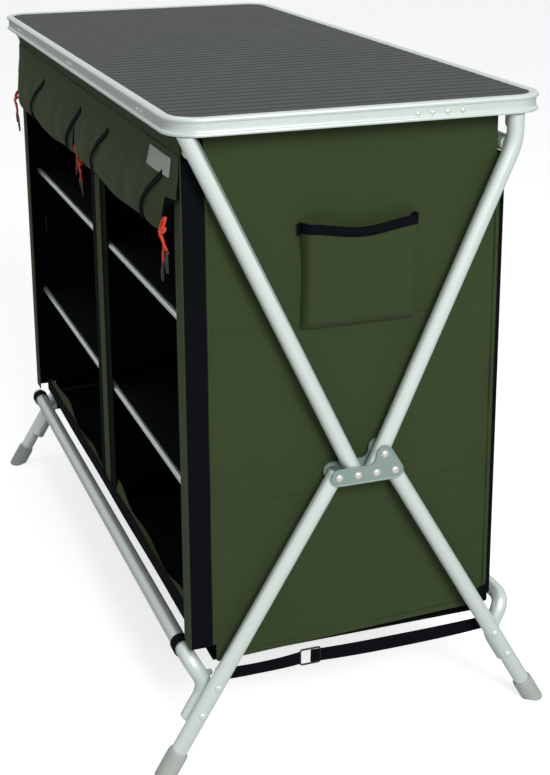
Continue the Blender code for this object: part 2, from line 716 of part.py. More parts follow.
def make_side_panels():
    bar_front = back_notch_y()
    notch = PANEL_FRONT_Y + TUBE_RADIUS / 2
    inner = [notch + (bar_front - LOOSE_FIT * 4 - notch) * share for share in shares(11)]
    columns = [PANEL_FRONT_Y, notch - LOOSE_FIT] + inner + [bar_front, PANEL_BACK_Y]
    last_row = ROWS_IN_BAND * (len(SHELF_HEIGHTS) + 1)
    for name, side in sides():
        mesh_data = bmesh.new()
        faces = []
        for depth in (0, CLOTH):
            grid = []
            for y in columns:
                points = [(side * (PANEL_X - depth - fold), y, z) for z, fold in panel_column(y)]
                grid.append([mesh_data.verts.new(point) for point in points])
            faces.append(grid)
        outer, inside = faces
        last_column = len(columns) - 1
        for column in range(last_column):
            for row in range(last_row):
                for grid in faces:
                    corners = [grid[column][row], grid[column + 1][row]]
                    corners += [grid[column + 1][row + 1], grid[column][row + 1]]
                    mesh_data.faces.new(corners)
            for row in (0, last_row):
                corners = [outer[column][row], outer[column + 1][row]]
                mesh_data.faces.new(corners + [inside[column + 1][row], inside[column][row]])
        for row in range(last_row):
            for column in (0, last_column):
                corners = [outer[column][row], outer[column][row + 1]]
                mesh_data.faces.new(corners + [inside[column][row + 1], inside[column][row]])
        finish("side_panel_" + name, mesh_data, green_cloth())


def box_piece(name, low, high, surface):
    mesh_data = bmesh.new()
    add_box(mesh_data, low, high)
    return finish(name, mesh_data, surface, False)


def make_inner_walls():
    inside = PANEL_X - CLOTH - LOOSE_FIT
    back = PANEL_BACK_Y + LOOSE_FIT
    lift = STRIP_BOTTOM + LOOSE_FIT
    high = (PANEL_X, back + CLOTH, below_back_bar())
    box_piece("back_panel", (-PANEL_X, back, lift), high, black_webbing())
    top = below_back_bar() - LOOSE_FIT
    low = (-CLOTH / 2, PANEL_FRONT_Y, FLOOR_HEIGHT + LOOSE_FIT)
    box_piece("divider_panel", low, (CLOTH / 2, PANEL_BACK_Y, top), black_webbing())
    low = (-inside, PANEL_FRONT_Y + LOOSE_FIT * 2, FLOOR_HEIGHT - FLOOR_THICKNESS)
    box_piece("floor_panel", low, (inside, PANEL_BACK_Y, FLOOR_HEIGHT), black_webbing())
    for level, height in zip(("lower", "upper"), SHELF_HEIGHTS):
        for name, side in sides():
            xs = sorted(side * x for x in (CLOTH / 2 + LOOSE_FIT, inside))
            low = (xs[0], PANEL_FRONT_Y, height - SHELF_THICKNESS)
            board = "shelf_board_" + level + "_" + name
            box_piece(board, low, (xs[1], PANEL_BACK_Y, height), black_webbing())


def make_shelf_bars():
    """A bar along the front edge of the shelf boards at each level."""
    y = PANEL_FRONT_Y - SHELF_BAR_RADIUS - LOOSE_FIT
    inside = PANEL_X - CLOTH - LOOSE_FIT
    for level, height in zip(("lower", "upper"), SHELF_HEIGHTS):
        z = height - SHELF_BAR_DROP
        ends = [(-inside, y, z), (inside, y, z)]
        pipe("shelf_bar_" + level, ends, SHELF_BAR_RADIUS, SHELF_BAR_WALL, 12)


def make_front_strips():
    """The flat fabric of the front: header, corner strips, middle strip and the bottom hem."""
    back = FRONT_FACE_Y + CLOTH
    surface = green_cloth()
    header = bmesh.new()
    notch = HOOK_WIDTH / 2 + LOOSE_FIT * 4
    hook = TABLE_LENGTH / 2 - HOOK_FROM_END
    hook_low = BAR_HEIGHT - LOOSE_FIT * 2
    outline = [(-PANEL_X, HEADER_BOTTOM), (PANEL_X, HEADER_BOTTOM)]
    outline += [(PANEL_X, PANEL_TOP), (hook + notch, PANEL_TOP), (hook + notch, hook_low)]
    outline += [(hook - notch, hook_low), (hook - notch, PANEL_TOP), (notch - hook, PANEL_TOP)]
    outline += [(notch - hook, hook_low), (-hook - notch, hook_low), (-hook - notch, PANEL_TOP)]
    outline += [(-PANEL_X, PANEL_TOP)]
    add_loops(header, [[(x, y, z) for x, z in outline] for y in (FRONT_FACE_Y, back)])
    finish("front_header", header, surface, False)
    top = HEADER_BOTTOM - LOOSE_FIT
    for name, side in sides():
        xs = sorted((side * STRIP_INNER_X, side * PANEL_X))
        low = (xs[0], FRONT_FACE_Y, STRIP_BOTTOM)
        box_piece("front_strip_" + name, low, (xs[1], back, top), surface)
        xs = sorted((side * (PANEL_X - CLOTH), side * PANEL_X))
        low = (xs[0], back + LOOSE_FIT, STRIP_BOTTOM)
        high = (xs[1], PANEL_FRONT_Y - LOOSE_FIT, BAR_HEIGHT - TUBE_RADIUS - LOOSE_FIT * 2)
        box_piece("corner_webbing_" + name, low, high, black_webbing())
    bar_front = PANEL_FRONT_Y - SHELF_BAR_RADIUS * 2 - LOOSE_FIT * 2
    half = MIDDLE_STRIP_WIDTH / 2
    low = (-half, bar_front - CLOTH, STRIP_BOTTOM)
    high = (half, bar_front, BAR_HEIGHT - TUBE_RADIUS - LOOSE_FIT * 2)
    box_piece("front_strip_middle", low, high, surface)
    reach = STRIP_INNER_X - LOOSE_FIT * 4
    hem_back = bar_front - CLOTH - LOOSE_FIT
    hem_low = CROSSBAR_HEIGHT + TUBE_RADIUS + LOOSE_FIT
    low = (-reach, hem_back - CLOTH, hem_low)
    box_piece("front_hem", low, (reach, hem_back, hem_low + HEM_HEIGHT), black_webbing())


def roll_sag(x, start, end):
    """The roll hangs a little between its ties and is drawn up at each of them."""
    stops = [start] + [place for place in TIE_PLACES if start < place < end] + [end]
    for before, after in zip(stops, stops[1:]):
        if before <= x <= after:
            deepest = ROLL_SAG_SHARE * (after - before)
            return deepest * math.sin(math.pi * (x - before) / (after - before)) ** 2
    return 0.0


def make_door_rolls():
    reach = STRIP_INNER_X - LOOSE_FIT * 2
    for name, side in sides():
        start, end = sorted((side * ROLL_GAP / 2, side * reach))
        mesh_data = bmesh.new()
        rings = []
        for share in shares(22):
            x = start + (end - start) * share
            sag = roll_sag(x, start, end)
            ring = []
            for y, z in ellipse_points(0, 0, 360, 14)[:-1]:
                below = max(ROLL_MIDDLE_Z - z, 0) / (ROLL_HEIGHT / 2)
                ring.append((x, y, z - sag * below))
            rings.append(ring)
        add_loops(mesh_data, rings)
        finish("door_roll_" + name, mesh_data, green_cloth())


def make_ties():
    """Each tie is sewn to the header, runs down over the roll and passes under it."""
    inner, outer = [], []
    for grow, line in ((TIE_GAP, inner), (TIE_GAP + TIE_THICKNESS, outer)):
        line.append((FRONT_FACE_Y - grow, TIE_TOP))
        for y, z in ellipse_points(grow, TIE_START, TIE_END, 8):
            line.append((y, z))
    outline = inner + list(reversed(outer))
    bottom = ROLL_MIDDLE_Z - ROLL_HEIGHT / 2
    for number, place in enumerate(TIE_PLACES):
        rings = []
        for edge in (-TIE_WIDTH / 2, TIE_WIDTH / 2):
            ring = []
            for y, z in outline:
                lean = TIE_LEAN * (z - bottom) / (TIE_TOP - bottom)
                ring.append((place + edge + lean, y, z))
            rings.append(ring)
        mesh_data = bmesh.new()
        add_loops(mesh_data, rings)
        finish("door_tie_" + str(number + 1), mesh_data, black_webbing(), False)


def make_pocket():
    """A flat box of cloth on the right-hand panel, open at its top."""
    back = PANEL_X + FIT
    front = back + POCKET_DEPTH
    wall = POCKET_WALL
    low = (back, POCKET_FRONT_Y, POCKET_BOTTOM)
    pocket = box_piece("side_pocket", low, (front, POCKET_BACK_Y, POCKET_TOP), green_cloth())
    hollow = bmesh.new()
    low = (back + wall, POCKET_FRONT_Y + wall, POCKET_BOTTOM + wall)
    add_box(hollow, low, (front - wall, POCKET_BACK_Y - wall, POCKET_TOP + OVERRUN))
    cut(pocket, helper("hollow_side_pocket", hollow))


def join(target, name, mesh_data):
    """Unites a piece with another closed shape that is fixed to it."""
    added = helper(name + "_" + target.name, mesh_data)
    boolean = target.modifiers.new("with_" + name, "BOOLEAN")
    boolean.operation = "UNION"
    boolean.object = added


def make_rests():
    """Rests under the table: each sits on the front top bar, with a lip in front of it."""
    bar_y = FRONT_BAR_Y
    top = TOP_UNDERSIDE - FIT
    seat = BAR_HEIGHT + TUBE_RADIUS + FIT
    lip_back = bar_y - TUBE_RADIUS - FIT
    outline = [
        (lip_back - HOOK_LIP, BAR_HEIGHT),
        (lip_back, BAR_HEIGHT),
        (lip_back, seat),
        (bar_y + TUBE_RADIUS, seat),
        (bar_y + TUBE_RADIUS, top),
        (lip_back - HOOK_LIP, top),
    ]
    for name, side in sides():
        mesh_data = bmesh.new()
        middle = side * (TABLE_LENGTH / 2 - HOOK_FROM_END)
        add_prism(mesh_data, outline, middle - HOOK_WIDTH / 2, middle + HOOK_WIDTH / 2)
        finish("table_rest_" + name, mesh_data, material("black_plastic", BLACK, 0.5), False)


def crossbar_path(leg_y, outward):
    """Up one arm, across to the other end and down the other arm."""
    bar_y = crossbar_y(outward)
    points = []
    for side in (-1, 1):
        arm = [
            (side * ARM_X, leg_y(ARM_END_HEIGHT), ARM_END_HEIGHT),
            (side * ARM_X, leg_y(ARM_STRAIGHT_HEIGHT), ARM_STRAIGHT_HEIGHT),
            (side * ARM_X, bar_y, CROSSBAR_HEIGHT),
        ]
        points += arm if side < 0 else list(reversed(arm))
    return [Vector(points[0])] + rounded_path(points[1:5], CROSSBAR_BEND_RADIUS, 5) + [Vector(points[5])]


def make_foot_cap(name, foot, upward):
    """A moulded cap over a leg's end, cut flat where it stands on the floor."""
    mesh_data, floor, bore = bmesh.new(), bmesh.new(), bmesh.new()
    profile = ((-TUBE_RADIUS, FOOT_CAP_RADIUS), (FOOT_CAP_LENGTH, FOOT_CAP_RADIUS))
    add_turned(mesh_data, profile, foot, upward, TUBE_SIDES)
    cap = finish(name, mesh_data, material("foot_grey", FOOT_GREY, 0.6))
    reach = FOOT_CAP_LENGTH
    add_box(floor, foot - Vector((reach, reach, reach)), (foot.x + reach, foot.y + reach, 0))
    radius = (TUBE_RADIUS + FIT) / math.cos(math.pi / TUBE_SIDES)
    ends = ((TUBE_RADIUS * FOOT_END_SHARE - FIT, radius), (reach + OVERRUN, radius))
    add_turned(bore, ends, foot, upward, TUBE_SIDES)
    cut(cap, helper("floor_under_" + name, floor))
    cut(cap, helper("bore_in_" + name, bore))


def ellipse_points(grow, start, end, steps):
    """Points round the door roll's section, with angles in degrees from its top towards the back."""
    found = []
    for step in range(steps + 1):
        angle = math.radians(start + (end - start) * step / steps)
        y = ROLL_MIDDLE_Y + (ROLL_DEPTH / 2 + grow) * math.sin(angle)
        found.append((y, ROLL_MIDDLE_Z + (ROLL_HEIGHT / 2 + grow) * math.cos(angle)))
    return found


def make_front_straps():
    """The front half of the strap under each end, from the crossbar's arm to the ring."""
    end = RING_Y - RING_WIDTH / 2 - FIT
    for name, side in sides():
        strap_piece("strap_front_" + name, side, strap_end(front_leg_y, -1), end)


def make_back_straps():
    """The back half of each strap, with the ring sewn to its front end."""
    half = RING_WIRE / 2
    low_y, high_y = RING_Y - RING_WIDTH / 2, RING_Y + RING_WIDTH / 2
    low_z, high_z = STRAP_HEIGHT - STRAP_WIDTH / 2 - RING_WIRE, STRAP_HEIGHT + STRAP_WIDTH / 2 + RING_WIRE
    for name, side in sides():
        x = side * ARM_X
        strap = strap_piece("strap_back_" + name, side, high_y - half, strap_end(back_leg_y, 1))
        ring, opening = bmesh.new(), bmesh.new()
        add_box(ring, (x - half, low_y, low_z), (x + half, high_y, high_z))
        join(strap, "ring", ring)
        low = (x - RING_WIRE * 2, low_y + RING_WIRE, low_z + RING_WIRE)
        high = (x + RING_WIRE * 2, high_y - RING_WIRE, high_z - RING_WIRE)
        add_box(opening, low, high)
        cut(strap, helper("ring_opening_" + name, opening))


def strap_piece(name, side, start, end):
    x = side * ARM_X
    half = STRAP_THICKNESS / 2
    low = (x - half, start, STRAP_HEIGHT - STRAP_WIDTH / 2)
    return box_piece(name, low, (x + half, end, STRAP_HEIGHT + STRAP_WIDTH / 2), black_webbing())


def carry(name, place, makers):
    """An empty on the joint's axis, with the pieces that turn about it as its children."""
    before = set(bpy.data.objects)
    for maker, *values in makers:
        maker(*values)
    pieces = sorted(set(bpy.data.objects) - before, key=object_name)
    axis = bpy.data.objects.new(name, None)
    axis.location = place
    bpy.context.scene.collection.objects.link(axis)
    for piece in pieces:
        piece.parent = axis
        piece.matrix_parent_inverse = Matrix.Translation(-Vector(place))


def object_name(made):
    return made.name


def strap_end(leg_y, outward):
    """Where a strap meets the inner side of a crossbar's arm."""
    return leg_y(ARM_STRAIGHT_HEIGHT) - outward * (TUBE_RADIUS - STRAP_LAP)


def panel_column(y):
    """The side panel's heights at one place across it, each with its fold."""
    across = min(max((y - PANEL_FRONT_Y) / (PANEL_BACK_Y - PANEL_FRONT_Y), 0), 1)
    seams = [panel_low(y), *SHELF_HEIGHTS, panel_high(y)]
    column = [(seams[0], 0.0)]
    for band, (low, high) in enumerate(zip(seams, seams[1:])):
        for share in shares(ROWS_IN_BAND)[1:]:
            column.append((low + (high - low) * share, side_fold(across, share, band)))
    return column


def add_plate(mesh_data, outline, low, high):
    """An outline of (x, y) points, extruded along Z."""
    add_loops(mesh_data, [[(x, y, z) for x, y in outline] for z in (low, high)])


def back_bar_y():
    """Where the back tube's axis stands at the back top bar's height."""
    path = back_tube_path(0)
    for below, above in zip(path, path[1:]):
        if below.z <= BACK_BAR_HEIGHT <= above.z:
            share = (BACK_BAR_HEIGHT - below.z) / (above.z - below.z)
            return below.y + (above.y - below.y) * share
    return BACK_TUBE_TOP_Y


def back_notch_y():
    return back_bar_y() - TUBE_RADIUS - LOOSE_FIT * 2


def below_back_bar():
    return BACK_BAR_HEIGHT - TUBE_RADIUS - LOOSE_FIT


def main():
    clear_scene()
    make_back_tubes()
    make_tube_plugs()
    make_hub()
    make_side_panels()
    make_inner_walls()
    make_shelf_bars()
    make_front_strips()
    make_door_rolls()
    make_ties()
    make_pocket()
    table = [(make_rim,), (make_top,), (make_braces,), (make_hinge_brackets,), (make_rests,)]
    carry("table_hinge_axis", (0, HINGE_Y, HINGE_Z), table)
    carry("frame_fold_axis", (0, TUBE_FRONT_Y, PIVOT_HEIGHT), [(make_front_frame,)])
    lower_front = [(make_lower_frame, "front", front_leg_y, -1), (make_front_straps,)]
    carry("lower_front_axis", (0, LEG_FRONT_Y, PIVOT_HEIGHT), lower_front)
    lower_back = [(make_lower_frame, "back", back_leg_y, 1), (make_back_straps,)]
    carry("lower_back_axis", (0, LEG_BACK_Y, PIVOT_HEIGHT), lower_back)


main()
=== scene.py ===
import json
import math

import bmesh
import bpy
import numpy as np
from bpy.props import FloatProperty, FloatVectorProperty, IntProperty, PointerProperty
from mathutils import Matrix, Vector


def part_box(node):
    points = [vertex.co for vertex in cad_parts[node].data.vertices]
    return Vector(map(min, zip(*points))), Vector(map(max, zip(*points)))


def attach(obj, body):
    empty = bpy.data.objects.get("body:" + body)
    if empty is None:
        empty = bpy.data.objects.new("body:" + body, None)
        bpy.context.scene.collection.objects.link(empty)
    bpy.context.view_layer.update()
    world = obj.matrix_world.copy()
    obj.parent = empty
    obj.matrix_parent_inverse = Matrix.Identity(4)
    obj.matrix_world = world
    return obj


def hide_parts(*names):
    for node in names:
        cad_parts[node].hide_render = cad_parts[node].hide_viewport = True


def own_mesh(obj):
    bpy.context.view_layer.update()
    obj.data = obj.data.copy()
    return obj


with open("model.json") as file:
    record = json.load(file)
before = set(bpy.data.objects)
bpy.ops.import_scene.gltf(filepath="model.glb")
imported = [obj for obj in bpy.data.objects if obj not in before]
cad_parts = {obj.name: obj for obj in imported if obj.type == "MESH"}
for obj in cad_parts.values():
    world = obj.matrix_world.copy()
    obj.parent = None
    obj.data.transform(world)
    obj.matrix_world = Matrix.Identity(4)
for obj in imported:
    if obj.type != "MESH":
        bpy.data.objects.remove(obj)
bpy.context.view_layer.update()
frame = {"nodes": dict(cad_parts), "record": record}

bl_info = {
    "name": "Camping cupboard",
    "version": (1, 0, 0),
    "blender": (4, 5, 0),
    "location": "3D View > Sidebar > Cupboard",
    "description": "Dresses a folding camping cupboard: frame, ribbed top and cloth body",
    "category": "Object",
}


def low(node):
    return np.array(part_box(node)[0], float)


def high(node):
    return np.array(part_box(node)[1], float)


def ends_of(node):
    """Lowest and highest corner of a CAD node's box."""
    return low(node), high(node)


# Places worked out from the frame
TABLE_LOW, TABLE_HIGH = ends_of("table_rim")
HALF_LENGTH, HALF_DEPTH = TABLE_HIGH[0], TABLE_HIGH[1]
RIM_TOP, RIM_LOW = TABLE_HIGH[2], TABLE_LOW[2]
TOP_FACE = high("table_top")[2]
TUBE_X = float(low("back_upper_tube_right")[0] + high("back_upper_tube_right")[0]) / 2
TUBE_R = float(high("back_upper_tube_right")[0] - low("back_upper_tube_right")[0]) / 2
PANEL_FRONT, PANEL_LOW = (float(value) for value in low("side_panel_right")[1:])
PANEL_X, PANEL_BACK, PANEL_HIGH = (float(value) for value in high("side_panel_right"))
FACE_Y = float(low("front_header")[1])
HEADER_LOW = float(low("front_header")[2])
STRIP_LOW = float(low("front_strip_right")[2])
STRIP_X = float(low("front_strip_right")[0])
SHELF_Z = [float(high("shelf_board_" + level + "_right")[2]) for level in ("lower", "upper")]
FLOOR_Z = float(high("floor_panel")[2])
BAR_Y, BAR_Z = (float(value) + TUBE_R for value in low("front_top_bar")[1:])
BACK_BAR_Y, BACK_BAR_Z = (float(value) + TUBE_R for value in low("back_top_bar")[1:])
JOINTS = {joint["name"]: joint for joint in frame["record"]["behaviour"]["joints"]}
PIVOT_Z = JOINTS["frame_fold"]["pos_m"][2]
LEG_FRONT_Y = JOINTS["lower_front_fold"]["pos_m"][1]
TUBE_FRONT_Y = JOINTS["frame_fold"]["pos_m"][1]
LEG_BACK_Y = JOINTS["lower_back_fold"]["pos_m"][1]
TUBE_BACK_Y = LEG_BACK_Y - (TUBE_FRONT_Y - LEG_FRONT_Y)
HINGE_Y = JOINTS["table_lift"]["pos_m"][1]
ENDS = (("left", -1), ("right", 1))

# Sizes that several pieces share
CLOTH = 0.0013
PIVOT_EASE = 0.0026
ARM_X = TUBE_X - 2 * TUBE_R - 0.0005
CROSSBAR_Z, CROSSBAR_BEND = 0.147, 0.034
RIM_CORNER = 0.045
STEP_FRONT, STEP_BACK = PANEL_FRONT + 0.0055, BACK_BAR_Y - TUBE_R - 0.0012
FLAP_FACE = FACE_Y - 0.0007
STRAP_WIDTH = 0.0180
BACK_BEND_Z, BACK_BEND = 0.790, 0.075
FRONT_TOP_Y = -0.2174
FOOT_Y = 0.262
PATCH_X, PATCH_Z = (0.385, 0.475), (0.7695, 0.7925)

# The four strands of the knot in a pull, round its middle
KNOT = (
    (
        (0.000, 0.000, 0.012), (-0.005, -0.002, 0.006), (-0.003, -0.004, 0.000),
        (0.003, -0.004, 0.001), (0.005, -0.002, 0.007), (0.000, 0.001, 0.012),
    ),
    (
        (-0.004, -0.003, 0.002), (0.002, -0.005, -0.003), (0.005, -0.003, -0.010),
        (0.002, -0.002, -0.017), (-0.002, -0.002, -0.024), (-0.005, -0.001, -0.034),
    ),
    (
        (0.004, -0.003, 0.002), (-0.003, -0.005, -0.004), (-0.005, -0.003, -0.008),
        (0.001, -0.002, -0.013), (0.006, -0.001, -0.017), (0.008, 0.000, -0.022),
    ),
    (
        (-0.006, -0.003, 0.000), (0.000, -0.006, -0.002), (0.006, -0.003, -0.001),
        (0.003, 0.000, 0.002), (-0.004, 0.000, 0.001),
    ),
)

# The CAD material of each finish
SLOTS = {
    "green_cloth": "green_cloth",
    "header_cloth_painted_shade": "green_cloth",
    "label": "green_cloth",
    "webbing": "black_cloth",
    "lining": "black_cloth",
    "aluminium": "aluminium",
    "rim": "aluminium",
    "rivet": "aluminium",
    "hub": "hub_grey",
    "slats": "dark_slats",
    "plug": "plug_grey",
    "foot": "foot_grey",
    "cord": "black_plastic",
    "black_plastic": "black_plastic",
}


# Settings that a user would change


def length_setting(name, description, default):
    return FloatProperty(name=name, description=description, default=default, unit="LENGTH")


def colour_setting(name, description, default):
    return FloatVectorProperty(name=name, description=description, subtype="COLOR", size=3, default=default)


class CupboardSizes(bpy.types.PropertyGroup):
    slat_count: IntProperty(name="Slats", description="Slats across the table top", default=45, min=5)
    slat_gap: length_setting("Slat gap", "Dark gap between two slats", 0.0022)
    fold_depth: length_setting("Fold depth", "How deep the side cloth folds", 0.0048)
    seam_pinch: length_setting("Seam pinch", "How far a seam draws the cloth in", 0.0016)
    thread: length_setting("Thread pitch", "Distance between the cloth's threads", 0.0009)
    lamp_power: FloatProperty(name="Lamp power", description="Power of the main lamp", default=93.0, unit="POWER")
    world_level: FloatProperty(name="World level", description="Strength of the even light", default=0.20)


class CupboardColours(bpy.types.PropertyGroup):
    cloth: colour_setting("Cloth", "Green cloth", (0.038, 0.058, 0.020))
    webbing: colour_setting("Webbing", "Black webbing", (0.0040, 0.0048, 0.0070))
    lining: colour_setting("Lining", "Black lining of the inside", (0.0035, 0.0045, 0.0045))
    frame_metal: colour_setting("Frame", "Satin aluminium", (0.76, 0.84, 0.80))
    hub: colour_setting("Hub", "Hub plates", (0.30, 0.39, 0.36))
    slats: colour_setting("Slats", "Dark table slats", (0.026, 0.033, 0.030))
    cord: colour_setting("Pull cords", "Orange zip pulls", (0.90, 0.060, 0.012))


def sizes():
    return bpy.context.scene.cupboard_sizes


def colours():
    return bpy.context.scene.cupboard_colours


# Meshes from arrays


def object_from(name, points, faces, metres=None):
    """A mesh object at the origin. metres holds a (u, v) place in metres for each point."""
    mesh = bpy.data.meshes.new(name)
    mesh.from_pydata(np.asarray(points, float).reshape(-1, 3).tolist(), [], [list(f) for f in faces])
    if metres is not None:
        layer = mesh.uv_layers.new(name="metres")
        corner = np.empty(len(mesh.loops), np.int32)
        mesh.loops.foreach_get("vertex_index", corner)
        layer.data.foreach_set("uv", np.asarray(metres, np.float32).reshape(-1, 2)[corner].ravel())
    mesh.validate()
    made = bpy.data.objects.new(name, mesh)
    bpy.context.scene.collection.objects.link(made)
    return made


def grid_faces(rows, columns, closed=False, start=0):
    """Quads of a grid of points, whose columns close into a ring where closed is set."""
    r, c = grid_of(np.arange(rows - 1), np.arange(columns if closed else columns - 1))
    after = (c + 1) % columns
    quads = np.stack([r * columns + c, r * columns + after, (r + 1) * columns + after, (r + 1) * columns + c], -1)
    return (quads.reshape(-1, 4) + start).tolist()


def outward(made, smooth=True, angle=40):
    """Faces turned outwards, and smooth shading below the given angle."""
    work = bmesh.new()
    work.from_mesh(made.data)
    bmesh.ops.recalc_face_normals(work, faces=work.faces)
    work.to_mesh(made.data)
    work.free()
    if smooth:
        made.data.shade_smooth()
        made.data.set_sharp_from_angle(angle=math.radians(angle))
    return made


def arc_lengths(points, axis):
    """Distance run along one direction of a grid of points, averaged over the other."""
    steps = np.linalg.norm(np.diff(points, axis=axis), axis=-1).mean(axis=1 - axis)
    return np.concatenate([[0.0], np.cumsum(steps)])


def rings_object(name, rings, capped=True, looped=False):
    """Skins closed rings of points, an array (rings, points, 3), with flat ends unless it is looped."""
    rings = np.asarray(rings, float)
    count, around = rings.shape[:2]
    faces = grid_faces(count, around, closed=True)
    if looped:
        last = (count - 1) * around
        faces += [[last + i, last + (i + 1) % around, (i + 1) % around, i] for i in range(around)]
    elif capped:
        faces.append(list(range(around))[::-1])
        faces.append([(count - 1) * around + i for i in range(around)])
    run = arc_lengths(rings, 0)
    girth = np.linalg.norm(np.roll(rings[0], -1, 0) - rings[0], axis=-1)
    across = np.concatenate([[0.0], np.cumsum(girth)[:-1]])
    metres = np.stack(grid_of(run, across), -1)
    return outward(object_from(name, rings, faces, metres))


def cloth_object(name, grid, thickness):
    """A closed sheet: the grid (rows, columns, 3) is its outer face, and thickness is a vector to its inner face."""
    grid = np.asarray(grid, float)
    rows, columns = grid.shape[:2]
    inner = grid + np.asarray(thickness, float)
    count = rows * columns
    index = np.arange(count).reshape(rows, columns)
    faces = grid_faces(rows, columns)
    faces += [face[::-1] for face in grid_faces(rows, columns, start=count)]
    border = np.concatenate([index[0, :-1], index[:-1, -1], index[-1, :0:-1], index[:0:-1, 0]])
    after = np.roll(border, -1)
    faces += np.stack([border, border + count, after + count, after], -1).tolist()
    metres = np.stack(grid_of(arc_lengths(grid, 0), arc_lengths(grid, 1)), -1)
    return outward(object_from(name, np.concatenate([grid, inner]), faces, np.concatenate([metres, metres])))


def tangents(path):
    ahead = np.gradient(path, axis=0)
    return ahead / np.linalg.norm(ahead, axis=1, keepdims=True)


def carried_rings(path, section, up=(1.0, 0.0, 0.0)):
    """The section (k, 2) carried along the path, its first axis square to up and its second along up."""
    path = np.asarray(path, float)
    along = tangents(path)
    up = np.broadcast_to(np.asarray(up, float), path.shape)
    across = np.cross(up, along)
    across /= np.linalg.norm(across, axis=1, keepdims=True)
    level = np.cross(along, across)
    section = np.asarray(section, float)
    return (
        path[:, None]
        + section[None, :, 0, None] * across[:, None]
        + section[None, :, 1, None] * level[:, None]
    )


def circle(radius, count=28):
    angle = 2 * np.pi * np.arange(count) / count
    return np.stack([radius * np.cos(angle), radius * np.sin(angle)], -1)


def rounded_box(width, height, radius, steps=3):
    """Section of a strip with rounded edges: four quarter arcs, one at each corner."""
    radius = min(radius, width / 2, height / 2)
    points = []
    for quarter, (sx, sy) in enumerate(((1, 1), (-1, 1), (-1, -1), (1, -1))):
        angle = np.pi / 2 * (quarter + np.arange(steps + 1) / steps)
        points.append(
            np.stack(
                [
                    sx * (width / 2 - radius) + radius * np.cos(angle),
                    sy * (height / 2 - radius) + radius * np.sin(angle),
                ],
                -1,
            )
        )
    return np.concatenate(points)


def smooth_path(points, radius, steps=8):
    """A path with its inner corners rounded: each corner becomes a quadratic arc of about the given radius."""
    points = np.asarray(points, float)
    path = [points[0]]
    for before, corner, after in zip(points, points[1:], points[2:]):
        incoming, outgoing = corner - before, after - corner
        a, b = np.linalg.norm(incoming), np.linalg.norm(outgoing)
        turn = math.acos(np.clip(np.dot(incoming, outgoing) / (a * b), -1, 1))
        reach = min(radius * math.tan(turn / 2), a / 2, b / 2)
        start, end = corner - incoming / a * reach, corner + outgoing / b * reach
        share = np.linspace(0, 1, steps + 1)[:, None]
        path.extend((1 - share) ** 2 * start + 2 * share * (1 - share) * corner + share**2 * end)
    path.append(points[-1])
    return np.array(path)


def tube_object(name, path, radius, count=28, up=(1.0, 0.0, 0.0)):
    """A round tube along a path, its ends closed by shallow rounded plugs."""
    path = np.asarray(path, float)
    ahead = tangents(path)
    cap = radius * 0.12
    up = np.broadcast_to(np.asarray(up, float), path.shape)
    up = np.concatenate([up[:1], up, up[-1:]])
    path = np.concatenate([[path[0] - ahead[0] * cap], path, [path[-1] + ahead[-1] * cap]])
    rings = carried_rings(path, circle(radius, count), up)
    for end, middle in ((0, path[0]), (-1, path[-1])):
        rings[end] = middle + (rings[end] - middle) * 0.86
    return rings_object(name, rings)


def turned_object(name, profile, centre, axis, count=24):
    """A turned solid: the profile holds (distance along the axis, radius)."""
    axis = Vector(axis).normalized()
    across = axis.orthogonal().normalized()
    side = axis.cross(across)
    angle = 2 * np.pi * np.arange(count) / count
    ring = np.cos(angle)[:, None] * np.array(across) + np.sin(angle)[:, None] * np.array(side)
    profile = np.asarray(profile, float)
    rings = np.asarray(centre, float) + profile[:, 0, None, None] * np.array(axis) + profile[:, 1, None, None] * ring
    return rings_object(name, rings)


def dome_profile(radius, height, steps=5):
    """A low dome's profile, from its seat to near its crown."""
    share = np.linspace(0, 0.96, steps)
    dome = [(height * math.sin(s * math.pi / 2), radius * math.cos(s * math.pi / 2)) for s in share]
    return [(-height * 0.4, radius)] + dome


def grid_of(rows, columns):
    return np.meshgrid(rows, columns, indexing="ij")


def points_of(made):
    points = np.empty(len(made.data.vertices) * 3, np.float32)
    made.data.vertices.foreach_get("co", points)
    return points.reshape(-1, 3)


def set_points(made, points):
    made.data.vertices.foreach_set("co", points.ravel())
    made.data.update()
    return made


def merged(name, made):
    """Joins several finished pieces into one mesh object, each a closed shell of its own."""
    total, faces, metres, count = [], [], [], 0
    for piece in made:
        mesh = piece.data
        total.append(points_of(piece))
        faces += [[vertex + count for vertex in polygon.vertices] for polygon in mesh.polygons]
        layer = mesh.uv_layers[0].data
        corner = np.empty(len(mesh.loops), np.int32)
        mesh.loops.foreach_get("vertex_index", corner)
        place = np.empty(len(layer) * 2, np.float32)
        layer.foreach_get("uv", place)
        own = np.zeros((len(mesh.vertices), 2), np.float32)
        own[corner] = place.reshape(-1, 2)
        metres.append(own)
        count += len(mesh.vertices)
        bpy.data.objects.remove(piece, do_unlink=True)
    return outward(object_from(name, np.concatenate(total), faces, np.concatenate(metres)))


def lined(made, axis, inwards, least=0.3):
    """Gives the faces that look inwards along an axis the black lining."""
    made.data.materials.append(finish("lining"))
    normals = np.empty(len(made.data.polygons) * 3, np.float32)
    made.data.polygons.foreach_get("normal", normals)
    facing = (normals.reshape(-1, 3)[:, axis] * inwards > least).astype(np.int32)
    made.data.polygons.foreach_set("material_index", facing)


def place_piece(made, body, look, nodes=(), slot=None, lining=None):
    """Gives a piece its body and finish, and hides the CAD nodes that it stands for."""
    made.data.materials.clear()
    made.data.materials.append(finish(look))
    if lining:
        lined(made, *lining)
    slot = slot or SLOTS[look]
    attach(made, body)
    if nodes:
        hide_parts(*nodes)


